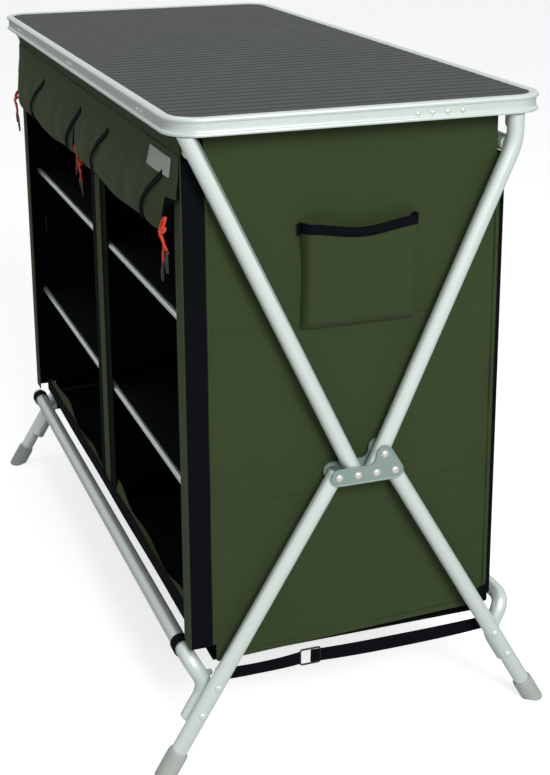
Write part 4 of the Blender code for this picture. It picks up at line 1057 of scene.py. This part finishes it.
class CUPBOARD_OT_inside(bpy.types.Operator):
    """Back wall, middle wall, floor and padded shelves, with the bars that carry the shelves' front edges"""

    bl_idname = "cupboard.inside"
    bl_label = "Inner walls and shelves"

    def execute(self, context):
        self.upright("back_wall", "back_panel", 1)
        self.upright("middle_wall", "divider_panel", 0)
        first, last = ends_of("floor_panel")
        floor = draped_panel("cloth_floor", first[0], last[0], first[1], last[1], FLOOR_Z, 0.0012, 0.0026, 90, 44)
        place_cloth(floor, "lining", ["floor_panel"])
        for level in ("lower", "upper"):
            for name, _ in ENDS:
                node = "shelf_board_" + level + "_" + name
                a, b = ends_of(node)
                shelf = draped_panel("shelf_" + level + "_" + name, a[0], b[0], a[1], b[1], b[2], 0.0014, 0.0025)
                place_cloth(shelf, "lining", [node])
            node = "shelf_bar_" + level
            a, b = ends_of(node)
            radius = (b[2] - a[2]) / 2
            middle = np.array([0, (a[1] + b[1]) / 2, (a[2] + b[2]) / 2])
            path = np.linspace(middle + (a[0], 0, 0), middle + (b[0], 0, 0), 9)
            bar = tube_object("shelf_edge_" + level, path, radius, 20, (0, 0, 1))
            place_cloth(bar, "aluminium", [node])
        return {"FINISHED"}

    def upright(self, name, node, axis):
        """A wall that stands across Y (axis 1) or across X (axis 0), with shallow waves between the shelves."""
        a, b = ends_of(node)
        wide = 1 - axis
        u, v = grid_of(np.linspace(a[wide], b[wide], 150), np.linspace(a[2], b[2], 90))
        share = (u - a[wide]) / (b[wide] - a[wide])
        up = (v - a[2]) / (b[2] - a[2])
        edge = np.clip(np.minimum(np.minimum(share, 1 - share), np.minimum(up, 1 - up)) / 0.04, 0, 1)
        wave = 0.5 + 0.5 * np.sin(2 * np.pi * (3.1 * share + 0.9 * up) + 1.3 * np.sin(5 * up))
        depth = 0.0009 * edge * wave
        for seam in SHELF_Z:
            depth = np.maximum(depth, 0.0011 * ridge(v, seam, 0.004) * edge)
        grid = np.empty(u.shape + (3,))
        grid[..., wide] = u
        grid[..., axis] = b[axis] - depth
        grid[..., 2] = v
        thickness = [0, 0, 0]
        thickness[axis] = -0.0010
        wall = cloth_object(name, grid, thickness)
        if axis == 1:
            place_cloth(wall, "green_cloth", [node], lining=(1, -1))
        else:
            place_cloth(wall, "lining", [node], "green_cloth")


# Front of the cloth body


def flat_cloth(name, x0, x1, z0, z1, y, thickness, wave=0.0, waves=3.0, columns=40, rows=60):
    """An upright strip that faces the front, with slow waves that leave its edges in place."""
    u, v = grid_of(np.linspace(0, 1, columns), np.linspace(0, 1, rows))
    inside = (np.sin(np.pi * u) * np.sin(np.pi * v)) ** 0.5
    ripple = wave * inside * np.sin(2 * np.pi * (waves * v + 0.5 * u) + 2.0 * np.sin(4 * v))
    grid = np.stack([x0 + (x1 - x0) * u, y + ripple, z0 + (z1 - z0) * v], -1)
    return cloth_object(name, grid, (0, thickness, 0))


def roll_places(side):
    a, b = ends_of("door_roll_right")
    return (a[0], b[0]) if side > 0 else (-b[0], -a[0])


def tie_places():
    """Where each tie crosses the bottom of the roll, from the ties' own boxes."""
    places = []
    for number in range(1, 5):
        places.append(float(low("door_tie_" + str(number))[0]) + 0.006)
    return places


def roll_middle():
    a, b = ends_of("door_roll_right")
    depth = b[1] - a[1]
    top = float(b[2])
    return float(a[1] + b[1]) / 2, top - 0.024, float(depth) / 2, 0.024


def sag_at(x, side):
    """The roll hangs as a run of arches: each is a sine squared between two ties."""
    start, end = roll_places(side)
    stops = [start] + [place for place in tie_places() if start < place < end] + [end]
    drop = np.zeros(np.shape(x))
    for before, after in zip(stops, stops[1:]):
        share = (x - before) / (after - before)
        inside = (share >= 0) & (share <= 1)
        drop = np.where(inside, 0.02 * (after - before) * np.sin(np.pi * share) ** 2, drop)
    return drop


class CUPBOARD_OT_front(bpy.types.Operator):
    """Header, corner and middle strips, webbing and the bottom hem of the front"""

    bl_idname = "cupboard.front"
    bl_label = "Front cloth"

    def execute(self, context):
        self.header()
        top = float(high("front_strip_right")[2])
        for name, side in ENDS:
            x0, x1 = (STRIP_X, PANEL_X) if side > 0 else (-PANEL_X, -STRIP_X)
            face = FACE_Y + 0.0004
            strip = flat_cloth("corner_strip_" + name, x0, x1, STRIP_LOW, top, face, CLOTH, 0.0004, 2.2, 16, 90)
            place_cloth(strip, "green_cloth", ["front_strip_" + name])
            self.corner_webbing(name, side)
        a, b = ends_of("front_strip_middle")
        strip = flat_cloth("middle_strip", a[0], b[0], a[2], b[2], a[1] + 0.0003, 0.0014, 0.0003, 2.6, 40, 90)
        place_cloth(strip, "lining", ["front_strip_middle"], "green_cloth")
        x0, x1, z0, z1 = a[0] + 0.030, b[0] - 0.030, a[2] + 0.002, b[2] - 0.050
        fly = flat_cloth("middle_fly", x0, x1, z0, z1, a[1] - 0.0012, 0.0012, 0.0003, 3.0, 14, 80)
        place_cloth(fly, "green_cloth")
        self.hem()
        return {"FINISHED"}

    def header(self):
        """The header: one sheet from the rail down, which stands a little proud over the two table rests."""
        x = np.linspace(-PANEL_X, PANEL_X, 240)
        proud = np.zeros(len(x))
        for name, _ in ENDS:
            middle = (low("table_rest_" + name)[0] + high("table_rest_" + name)[0]) / 2
            proud += 0.0011 * window(x, middle - 0.018, middle + 0.018, 0.03)
        top = np.full(len(x), PANEL_HIGH - 0.0004)
        v = np.linspace(0, 1, 46)
        z = HEADER_LOW + (top[:, None] - HEADER_LOW) * v[None]
        across = np.broadcast_to(x[:, None], z.shape)
        edge = np.clip((PANEL_X - np.abs(across)) / 0.03, 0, 1)
        wave = 0.0010 * edge * np.sin(np.pi * v[None]) * (
            0.6 * np.sin(across * 17 + 3 * v[None]) + 0.4 * np.sin(across * 41 - 5 * v[None])
        )
        grid = np.stack([across, FACE_Y + 0.0002 + wave * 0.5 - proud[:, None] * v[None] ** 0.5, z], -1)
        header = cloth_object("header", grid, (0, CLOTH, 0))
        # The header's cloth carries painted shade: the green cloth made darker under the rail.
        place_cloth(header, "header_cloth_painted_shade", ["front_header"])

    def corner_webbing(self, name, side):
        """Black webbing from the bar to the crossbar, on the corner between the front and the side cloth."""
        a, b = ends_of("corner_webbing_" + name)
        outer = side * (PANEL_X + 0.0003)
        y_line, z_line = np.linspace(a[1] - 0.0009, b[1] + 0.0006, 12), np.linspace(a[2] - 0.0012, b[2], 130)
        u, v = grid_of(y_line, z_line)
        share = (v - a[2]) / (b[2] - a[2])
        ease = 0.0008 * np.sin(np.pi * share) * np.sin(11 * share + 1.5 * side)
        grid = np.stack([np.full(u.shape, outer) + side * np.abs(ease) * 0.6, u, v], -1)
        web = cloth_object("corner_web_" + name, grid, (-side * 0.0017, 0, 0))
        place_cloth(web, "webbing", ["corner_webbing_" + name])
        # A thin fold of the green cloth stands along the webbing's back edge
        z = np.linspace(0.166, 0.790, 120)
        x = side * (PANEL_X + 0.0004 + 0.0005 * np.sin(z * 37))
        path = np.stack([x, np.full(120, PANEL_FRONT + 0.0024), z], -1)
        rings = carried_rings(path, rounded_box(0.0040, 0.0026, 0.0012), (side, 0, 0))
        fold = rings_object("corner_fold_" + name, rings)
        place_cloth(fold, "green_cloth")

    def hem(self):
        """The bottom hem: black binding that waves along the crossbar, with a green strip that puckers above it."""
        a, b = ends_of("front_hem")
        x = np.linspace(a[0], b[0], 260)
        v = np.linspace(0, 1, 14)
        pucker = 0.0022 * np.sin(x * 19) + 0.0014 * np.sin(x * 47 + 1)
        hang = 0.0020 * np.sin(x * 9 + 0.6) ** 2
        drop = hang[:, None] * (1 - v[None]) * 0.8
        z = a[2] + 0.0022 + (b[2] - a[2] - 0.0035) * v[None] * (1 - 0.06 * np.sin(x * 31)[:, None]) - drop
        y = a[1] + 0.0002 + (pucker[:, None] * v[None] ** 1.5) * 0.5
        grid = np.stack([np.broadcast_to(x[:, None], z.shape), np.broadcast_to(y, z.shape), z], -1)
        hem = cloth_object("bottom_binding", grid, (0, CLOTH, 0))
        place_cloth(hem, "webbing", ["front_hem"])
        v = np.linspace(0, 1, 10)
        tall = 0.010 + 0.007 * np.sin(x * 14 + 0.7) + 0.003 * np.sin(x * 37)
        at_ends = np.clip((b[0] - np.abs(x)) / 0.05, 0.2, 1)
        tall = np.clip(tall, 0.003, None) * at_ends * np.clip(np.abs(x) / 0.04, 0.3, 1)
        z = b[2] - 0.006 + tall[:, None] * v[None]
        y = a[1] + 0.0022 + (0.0020 * np.sin(x * 33)[:, None] + 0.0030) * v[None] ** 1.3
        grid = np.stack([np.broadcast_to(x[:, None], z.shape), y, z], -1)
        strip = cloth_object("hem_pucker", grid, (0, 0.0010, 0))
        place_cloth(strip, "green_cloth")


def flap_section():
    """The closed section (y, z) of the flap and the door wound behind it, from points joined by smooth curves."""
    y0, z0, half_y, half_z = roll_middle()
    face, front, bottom = FLAP_FACE, y0 - half_y, z0 - half_z
    points = [
        (face, 0.8000), (face - 0.0012, 0.7900), (face - 0.0055, 0.7720), (front + 0.0045, 0.7500),
        (front + 0.0006, z0 + 0.008), (front + 0.0002, z0 - 0.006), (front + 0.0032, bottom + 0.0060),
        (front + 0.0085, bottom + 0.0006), (face + 0.0002, bottom + 0.0030), (face + 0.0012, bottom + 0.0110),
        (face + 0.0012, HEADER_LOW - 0.0020), (face, HEADER_LOW + 0.0010), (face, 0.7800),
    ]
    fine = smooth_path([(0, y, z) for y, z in points], 0.05, 8)[:, 1:]
    keep = np.concatenate([[True], np.linalg.norm(np.diff(fine, axis=0), axis=1) > 1e-5])
    return fine[keep]


def flap_ends(z):
    """Inner and outer ends of a flap at each height, as distances from the middle of the cupboard."""
    open_zip = np.clip((0.750 - z) / 0.045, 0, 1)
    inner = 0.0002 + 0.0095 * open_zip**0.8
    outer = np.where(z > HEADER_LOW, PANEL_X - 0.0002, STRIP_X - 0.0006 - 0.0075 * open_zip**0.9)
    return inner, outer


def flap_swell(x):
    """How full the flap is at each distance from the middle: it flattens towards the corner, and the ties pinch it."""
    near = np.clip((PANEL_X - np.abs(x)) / 0.110, 0, 1)
    swell = 0.22 + 0.78 * np.sin(near * np.pi / 2)
    swell = swell * (1 - 0.22 * ridge(x, 0, 0.030))
    for place in tie_places():
        swell = swell * (1 - 0.09 * ridge(np.abs(x), abs(place), 0.016))
    return swell


def flap_front(x, z):
    """Y of the flap's front at a place on it."""
    line = flap_section()
    last = int(np.argmin(line[:, 1]))
    rising = line[: last + 1][::-1]
    forward = np.interp(z, rising[:, 1], FLAP_FACE - rising[:, 0])
    return FLAP_FACE - forward * flap_swell(x)


class CUPBOARD_OT_rolls(bpy.types.Operator):
    """Rolled-up doors, their ties and pull cords, and the bare patch"""

    bl_idname = "cupboard.rolls"
    bl_label = "Rolled doors"

    def execute(self, context):
        for name, side in ENDS:
            place_cloth(self.roll(name, side), "green_cloth", ["door_roll_" + name], lining=(0, 1, 0.75))
        for number, place in enumerate(tie_places(), 1):
            node = "door_tie_" + str(number)
            place_cloth(self.tie("tie_" + str(number), place), "webbing", [node])
        self.pulls()
        u, v = grid_of(np.linspace(*PATCH_X, 30), np.linspace(*PATCH_Z, 12))
        patch = cloth_object("bare_patch", np.stack([u, flap_front(u, v) - 0.0013, v], -1), (0, 0.0008, 0))
        place_cloth(patch, "label")
        return {"FINISHED"}

    def roll(self, name, side):
        """A rolled door under the header's flap.

        One smooth skin leaves the header, swells over the wound cloth and turns under it. Above the zips the two
        flaps meet and reach the corners; below, their ends draw apart.
        """
        line = flap_section()
        u = np.linspace(0, 1, 190)
        start, end = flap_ends(line[:, 1])
        x = start[None] + (end - start)[None] * u[:, None]
        swell = flap_swell(x)
        forward = np.broadcast_to(FLAP_FACE - line[None, :, 0], x.shape)
        y = FLAP_FACE - np.where(forward > 0, forward * swell, forward)
        z = np.broadcast_to(line[None, :, 1], y.shape).copy()
        _, z0, _, half_z = roll_middle()
        below = np.clip((z0 + 0.012 - z) / (half_z + 0.012), 0, None)
        front = np.clip(forward / 0.010, 0, 1)
        y = y + front * (0.0007 * np.sin(x * 61 + 3) * np.sin(z * 180) - 0.0006)
        z = z - (sag_at(side * x, side) * 1.25 - 0.0012) * below
        rings = np.stack([side * x, y, z], -1)
        return rings_object("rolled_door_" + name, rings)

    def tie(self, name, place):
        """A band sewn to the flap: it stands off it in a loose bow, runs down over the roll and tucks under it."""
        line = flap_section()
        _, z0, _, half_z = roll_middle()
        bottom = z0 - half_z
        last = int(np.argmin(line[:, 1]))
        line = line[: last + 3].copy()
        top = high("door_tie_1")[2]
        line = line[line[:, 1] < top]
        along = tangents(np.column_stack([np.zeros(len(line)), line]))[:, 1:]
        proud = np.column_stack([along[:, 1], -along[:, 0]])
        proud *= np.sign(-proud[:, :1] + 1e-9)
        share = np.clip((line[:, 1] - bottom) / (top - bottom), 0, 1)
        line = line + proud * (0.0010 + 0.0026 * np.sin(np.pi * share) ** 2)[:, None]
        run = np.concatenate([[0], np.cumsum(np.linalg.norm(np.diff(line, axis=0), axis=1))])
        fine = np.linspace(0, run[-1], 64)
        y, z = np.interp(fine, run, line[:, 0]), np.interp(fine, run, line[:, 1])
        share = np.clip((z - bottom) / (top - bottom), 0, 1)
        x = place + 0.062 * share**1.15 + 0.0010 * np.sin(share * 7)
        y = FACE_Y + (y - FACE_Y) * flap_swell(x) - 0.0006
        z = z - sag_at(x, 1 if place > 0 else -1) * np.clip(1 - share * 2, 0, 1)
        path = np.stack([x, y, z], -1)
        width = 0.0112 - 0.0034 * np.sin(np.pi * np.clip(share * 1.15, 0, 1))
        ahead = tangents(path)
        side_way = np.tile([1.0, 0.0, 0.0], (64, 1))
        side_way -= (side_way * ahead).sum(1, keepdims=True) * ahead
        side_way /= np.linalg.norm(side_way, axis=1, keepdims=True)
        level = np.cross(ahead, side_way)
        section = rounded_box(1.0, 0.0014, 0.0005, 2)
        rings = path[:, None] + section[None, :, 0, None] * width[:, None, None] * side_way[:, None]
        rings = rings + section[None, :, 1, None] * level[:, None]
        return rings_object(name, rings)

    def pulls(self):
        """Short pulls: a knotted loop of orange cord that ends in two black tabs."""
        y0, _, half_y, _ = roll_middle()
        front = y0 - half_y + 0.0085
        for name, x, z, scale, turned in (
            ("middle_upper", 0.006, 0.716, 0.85, 1),
            ("middle_lower", 0.030, 0.694, 0.85, -1),
            ("right", STRIP_X + 0.004, 0.708, 1.25, 1),
            ("left", -STRIP_X - 0.004, 0.708, 1.1, -1),
        ):
            made = [self.cord_piece(points, 0.0016, x, front, z, scale, turned) for points in KNOT]
            cord = merged("pull_cord_" + name, made)
            place_cloth(cord, "cord")
            tabs = []
            for dx, dz, tilt in ((-0.0066, -0.041, -0.22), (0.0085, -0.029, 0.10)):
                path = [(x + turned * (dx - tilt * 0.011) * scale, front - 0.0010, z + (dz + 0.011) * scale)]
                path += [(x + turned * dx * scale, front - 0.0015, z + dz * scale)]
                path += [(x + turned * (dx + tilt * 0.011) * scale, front - 0.0010, z + (dz - 0.011) * scale)]
                section = rounded_box(0.0034 * scale, 0.0062 * scale, 0.0015 * scale, 4)
                fine = smooth_path(path, 0.02, 6)
                rings = carried_rings(fine, section, (1, 0, 0))
                taper = np.array([0.55, 0.85] + [1.0] * (len(rings) - 4) + [0.9, 0.6])
                rings = fine[:, None] + (rings - fine[:, None]) * taper[:, None, None]
                tabs.append(rings_object("tab", rings))
            tab = merged("pull_tab_" + name, tabs)
            place_cloth(tab, "black_plastic")

    def cord_piece(self, points, radius, x, y, z, scale, turned):
        points = np.array(points) * scale
        points[:, 0] *= turned
        path = smooth_path(points + (x, y, z), 0.01, 6)
        ahead = tangents(path)
        keep = np.concatenate([[True], np.linalg.norm(np.diff(path, axis=0), axis=1) > 1e-5])
        path, ahead = path[keep], ahead[keep]
        return rings_object("cord", carried_rings(path, circle(radius * min(scale, 1.0), 10), (0.13, 0.97, 0.21)))


class CUPBOARD_OT_pocket(bpy.types.Operator):
    """Side pocket: a bag sewn to the right end wall, open at its bound top"""

    bl_idname = "cupboard.pocket"
    bl_label = "Side pocket"

    def execute(self, context):
        a, b = ends_of("side_pocket")
        outside, wide = b[0] - a[0], b[1] - a[1]
        u = np.linspace(0, 1, 90)
        v = np.linspace(0, 1, 60)
        # Across its width the bag rises steeply from one seam, bulges and falls steeply to the other seam
        across = np.clip(np.minimum(u, 1 - u) / 0.055, 0, 1)
        wall = np.sin(across * np.pi / 2) ** 0.7
        belly = 0.80 + 0.20 * np.sin(np.pi * u)
        foot = np.sin(np.clip(v / 0.10, 0, 1) * np.pi / 2) ** 0.7
        full = (0.62 + 0.38 * v**0.8)
        depth = wall[:, None] * belly[:, None] * foot[None] * full[None] * (outside - 0.0012)
        crease = 0.0011 * np.sin(np.pi * u)[:, None] * (
            np.sin(9 * u[:, None] + 5 * v[None]) * 0.6 + np.sin(17 * u[:, None] - 8 * v[None]) * 0.3
        ) * foot[None]
        x = a[0] + np.clip(depth + crease * wall[:, None], 0.0002, outside)
        y = a[1] + wide * (u[:, None] + 0.02 * np.sin(np.pi * v[None]) * (0.5 - u[:, None]))
        top = b[2] - 0.004 - 0.010 * np.sin(np.pi * u) ** 2 * 0.8
        z = a[2] + (top[:, None] - a[2]) * v[None]
        grid = np.stack([x, y, np.broadcast_to(z, x.shape)], -1)
        bag = cloth_object("pocket_bag", grid, (-0.0011, 0, 0))
        place_cloth(bag, "green_cloth", ["side_pocket"])
        rim = grid[:, -1].copy()
        rim[:, 0] += 0.0002
        rim[:, 2] += 0.0005
        section = rounded_box(0.0034, 0.0125, 0.0012, 3)
        band = rings_object("pocket_binding", carried_rings(rim, section, (0.12, 0, 1)))
        place_cloth(band, "webbing")
        for number, y in enumerate((a[1] + 0.001, b[1] - 0.001)):
            z = np.linspace(b[2] - 0.013, b[2] + 0.001, 8)
            path = np.stack([np.full(8, a[0] + 0.0012), np.full(8, y), z], -1)
            rings = carried_rings(path, rounded_box(0.010, 0.0022, 0.0009), (1, 0, 0))
            tack = rings_object("pocket_tack_" + str(number + 1), rings)
            place_cloth(tack, "webbing")
        return {"FINISHED"}


class CUPBOARD_OT_straps(bpy.types.Operator):
    """Webbing straps that join the crossbars' arms under each end, and loops round the front crossbar"""

    bl_idname = "cupboard.straps"
    bl_label = "Straps"

    def execute(self, context):
        for name, side in ENDS:
            self.strap(name, side, "front")
            self.strap(name, side, "back")
            self.ring(name, side)
            self.loop(name, side)
        return {"FINISHED"}

    def strap(self, name, side, place):
        node = "strap_" + place + "_" + name
        a, b = ends_of(node)
        middle = (a[2] + b[2]) / 2
        x = side * ARM_X
        if place == "back":
            start, end = float(high("strap_front_" + name)[1]) + 0.016, b[1]
        else:
            start, end = a[1], b[1] + 0.0010
        y = np.linspace(start, end, 90)
        share = (y - start) / (end - start)
        # The strap hangs in a shallow curve and twists slightly on its way
        sag = 0.0030 * np.sin(np.pi * share)
        path = np.stack([np.full(90, x) + 0.0004 * np.sin(9 * share), y, middle - sag], -1)
        ahead = tangents(path)
        twist = 0.16 * np.sin(np.pi * share) * (1 if place == "front" else -1)
        wide = np.stack([np.sin(twist), np.zeros(90), np.cos(twist)], -1)
        wide -= (wide * ahead).sum(1, keepdims=True) * ahead
        wide /= np.linalg.norm(wide, axis=1, keepdims=True)
        rings = carried_rings(path, rounded_box(0.0017, STRAP_WIDTH, 0.0008, 3), wide)
        strap = rings_object("strap_web_" + place + "_" + name, rings)
        place_piece(strap, "lower_" + place, "webbing", [node])

    def ring(self, name, side):
        """A flat wire buckle between the two halves: a rounded rectangle carried round as a closed ring."""
        a = low("strap_back_" + name)
        x = side * ARM_X
        y0, z0 = float(a[1]) + 0.015, (float(a[2]) + float(high("strap_back_" + name)[2])) / 2
        outline = rounded_rectangle(0.0138, 0.0108, 0.003, 5)
        ahead = np.roll(outline, -1, 0) - np.roll(outline, 1, 0)
        ahead /= np.linalg.norm(ahead, axis=1, keepdims=True)
        normal = np.stack([ahead[:, 1], -ahead[:, 0]], -1)
        section = circle(0.00125, 10)
        rings = np.empty((len(outline), 10, 3))
        rings[..., 0] = x + section[None, :, 1]
        rings[..., 1] = y0 + outline[:, 0, None] + normal[:, 0, None] * section[None, :, 0]
        rings[..., 2] = z0 + outline[:, 1, None] + normal[:, 1, None] * section[None, :, 0]
        buckle = rings_object("strap_buckle_" + name, rings, looped=True)
        place_piece(buckle, "lower_back", "black_plastic")

    def loop(self, name, side):
        """The corner webbing's lower end, wrapped round the front crossbar as a closed band."""
        a, b = ends_of("lower_front_crossbar")
        y0, z0 = float(a[1]) + TUBE_R, float(b[2]) - TUBE_R
        angle = np.linspace(0, 2 * np.pi, 40, endpoint=False)
        x = side * 0.4655
        radius = TUBE_R + 0.0013
        path = np.stack([np.full(40, x), y0 + radius * np.sin(angle), z0 + radius * np.cos(angle)], -1)
        section = rounded_box(0.0016, STRAP_WIDTH, 0.0007, 3)
        outwards = np.stack([np.zeros(40), np.sin(angle), np.cos(angle)], -1)
        out = section[None, :, 0, None] * outwards[:, None]
        rings = path[:, None] + out + section[None, :, 1, None] * np.array([1.0, 0, 0])
        band = rings_object("crossbar_loop_" + name, rings, looped=True)
        place_piece(band, "lower_front", "webbing")


# Stage


class CUPBOARD_OT_stage(bpy.types.Operator):
    """Pale floor, soft lamps, even world light and the camera"""

    bl_idname = "cupboard.stage"
    bl_label = "Stage and camera"

    def execute(self, context):
        scene = context.scene
        self.floor()
        self.lamp("key_lamp", (3.6, 0.15, 2.5), (0.3, 0.0, 0.45), 1.8, sizes().lamp_power)
        self.lamp("top_lamp", (-0.4, -0.9, 3.6), (0.0, 0.0, 0.5), 2.6, sizes().lamp_power * 0.12)
        self.world(scene)
        self.camera(scene)
        settings = scene.view_settings
        settings.view_transform = "Standard"
        return {"FINISHED"}

    def floor(self):
        half = 30.0
        corners = [(-half, -half, 0), (half, -half, 0), (half, half, 0), (-half, half, 0)]
        places = [(x, y) for x, y, _ in corners]
        floor = object_from("floor", [(x, y, -0.0002) for x, y in places], [(0, 1, 2, 3)], places)
        material, tree, shader = blank_material("pale_floor", 0.9)
        shader.inputs["Base Color"].default_value = (0.92, 0.92, 0.92, 1)
        shader.inputs["Specular IOR Level"].default_value = 0.0
        # The camera sees the floor lifted towards white, and the object's shadow stays on it
        seen = tree.nodes.new("ShaderNodeLightPath")
        glow = tree.nodes.new("ShaderNodeEmission")
        glow.inputs["Strength"].default_value = 0.72
        both = tree.nodes.new("ShaderNodeAddShader")
        chosen = tree.nodes.new("ShaderNodeMixShader")
        output = tree.nodes["Material Output"]
        tree.links.new(shader.outputs[0], both.inputs[0])
        tree.links.new(glow.outputs[0], both.inputs[1])
        tree.links.new(seen.outputs["Is Camera Ray"], chosen.inputs[0])
        tree.links.new(shader.outputs[0], chosen.inputs[1])
        tree.links.new(both.outputs[0], chosen.inputs[2])
        tree.links.new(chosen.outputs[0], output.inputs["Surface"])
        floor.data.materials.append(material)

    def lamp(self, name, place, target, size, power):
        light = bpy.data.lights.new(name, "AREA")
        light.shape = "DISK"
        light.size = size
        light.energy = power
        lamp = bpy.data.objects.new(name, light)
        lamp.location = place
        lamp.rotation_euler = (Vector(target) - Vector(place)).to_track_quat("-Z", "Y").to_euler()
        bpy.context.scene.collection.objects.link(lamp)

    def world(self, scene):
        """Even light of a plain level, and white where the camera or a glossy ray looks past the object."""
        world = bpy.data.worlds.new("studio")
        scene.world = world
        world.use_nodes = True
        tree = world.node_tree
        soft = tree.nodes["Background"]
        soft.inputs["Color"].default_value = (0.96, 0.98, 1.0, 1)
        soft.inputs["Strength"].default_value = sizes().world_level
        white = tree.nodes.new("ShaderNodeBackground")
        white.inputs["Color"].default_value = (1, 1, 1, 1)
        path = tree.nodes.new("ShaderNodeLightPath")
        seen = maths(tree, "ADD", path.outputs["Is Camera Ray"], path.outputs["Is Glossy Ray"], clamp=True)
        seen = maths(tree, "ADD", seen, path.outputs["Is Transmission Ray"], clamp=True)
        mixed = tree.nodes.new("ShaderNodeMixShader")
        tree.links.new(seen, mixed.inputs[0])
        tree.links.new(soft.outputs[0], mixed.inputs[1])
        tree.links.new(white.outputs[0], mixed.inputs[2])
        tree.links.new(mixed.outputs[0], tree.nodes["World Output"].inputs["Surface"])

    def camera(self, scene):
        """The photograph's view: place, azimuth, elevation and roll, with the lens in pixels of the 550 x 775 image."""
        azimuth, elevation, roll = (math.radians(value) for value in (70.4255, 16.0473, -0.3325))
        focal, centre, size = 1495.198, (275.19, 257.94), (550, 775)
        back = Vector(
            (math.sin(azimuth) * math.cos(elevation), -math.cos(azimuth) * math.cos(elevation), math.sin(elevation))
        )
        across = Vector((0, 0, 1)).cross(back).normalized()
        up = back.cross(across)
        right = math.cos(roll) * across + math.sin(roll) * up
        above = -math.sin(roll) * across + math.cos(roll) * up
        lens = bpy.data.cameras.new("photo_camera")
        lens.sensor_fit = "VERTICAL"
        lens.sensor_height = 36.0
        lens.lens = focal / size[1] * 36.0
        lens.shift_x = (size[0] / 2 - centre[0]) / size[1]
        lens.shift_y = (centre[1] - size[1] / 2) / size[1]
        lens.clip_end = 200.0
        camera = bpy.data.objects.new("photo_camera", lens)
        camera.matrix_world = Matrix(
            (
                (right.x, above.x, back.x, 2.1285),
                (right.y, above.y, back.y, -0.6826),
                (right.z, above.z, back.z, 1.1628),
                (0, 0, 0, 1),
            )
        )
        scene.collection.objects.link(camera)
        scene.camera = camera


# Add-on


STEPS = (
    CUPBOARD_OT_stage,
    CUPBOARD_OT_tubes,
    CUPBOARD_OT_hubs,
    CUPBOARD_OT_legs,
    CUPBOARD_OT_rim,
    CUPBOARD_OT_slats,
    CUPBOARD_OT_fittings,
    CUPBOARD_OT_sides,
    CUPBOARD_OT_inside,
    CUPBOARD_OT_front,
    CUPBOARD_OT_rolls,
    CUPBOARD_OT_pocket,
    CUPBOARD_OT_straps,
)


class CUPBOARD_PT_panel(bpy.types.Panel):
    """Sizes, colours and steps of the cupboard"""

    bl_idname = "CUPBOARD_PT_panel"
    bl_label = "Camping cupboard"
    bl_space_type = "VIEW_3D"
    bl_region_type = "UI"
    bl_category = "Cupboard"

    def draw(self, context):
        layout = self.layout
        for title, group in (("Sizes", context.scene.cupboard_sizes), ("Colours", context.scene.cupboard_colours)):
            box = layout.box()
            box.label(text=title)
            for name in group.bl_rna.properties.keys():
                if name not in ("rna_type", "name"):
                    box.prop(group, name)
        column = layout.column(align=True)
        for step in STEPS:
            column.operator(step.bl_idname)


CLASSES = (CupboardSizes, CupboardColours, *STEPS, CUPBOARD_PT_panel)


def register():
    for item in CLASSES:
        bpy.utils.register_class(item)
    bpy.types.Scene.cupboard_sizes = PointerProperty(type=CupboardSizes)
    bpy.types.Scene.cupboard_colours = PointerProperty(type=CupboardColours)


def unregister():
    del bpy.types.Scene.cupboard_colours
    del bpy.types.Scene.cupboard_sizes
    for item in reversed(CLASSES):
        bpy.utils.unregister_class(item)


def plain(box):
    return [[float(value) for value in corner] for corner in box]


def main():
    register()
    for step in STEPS:
        area, name = step.bl_idname.split(".")
        result = getattr(getattr(bpy.ops, area), name)()
        if result != {"FINISHED"}:
            raise RuntimeError(step.bl_label + " did not finish")
    bpy.context.view_layer.update()


if __name__ == "__main__":
    main()
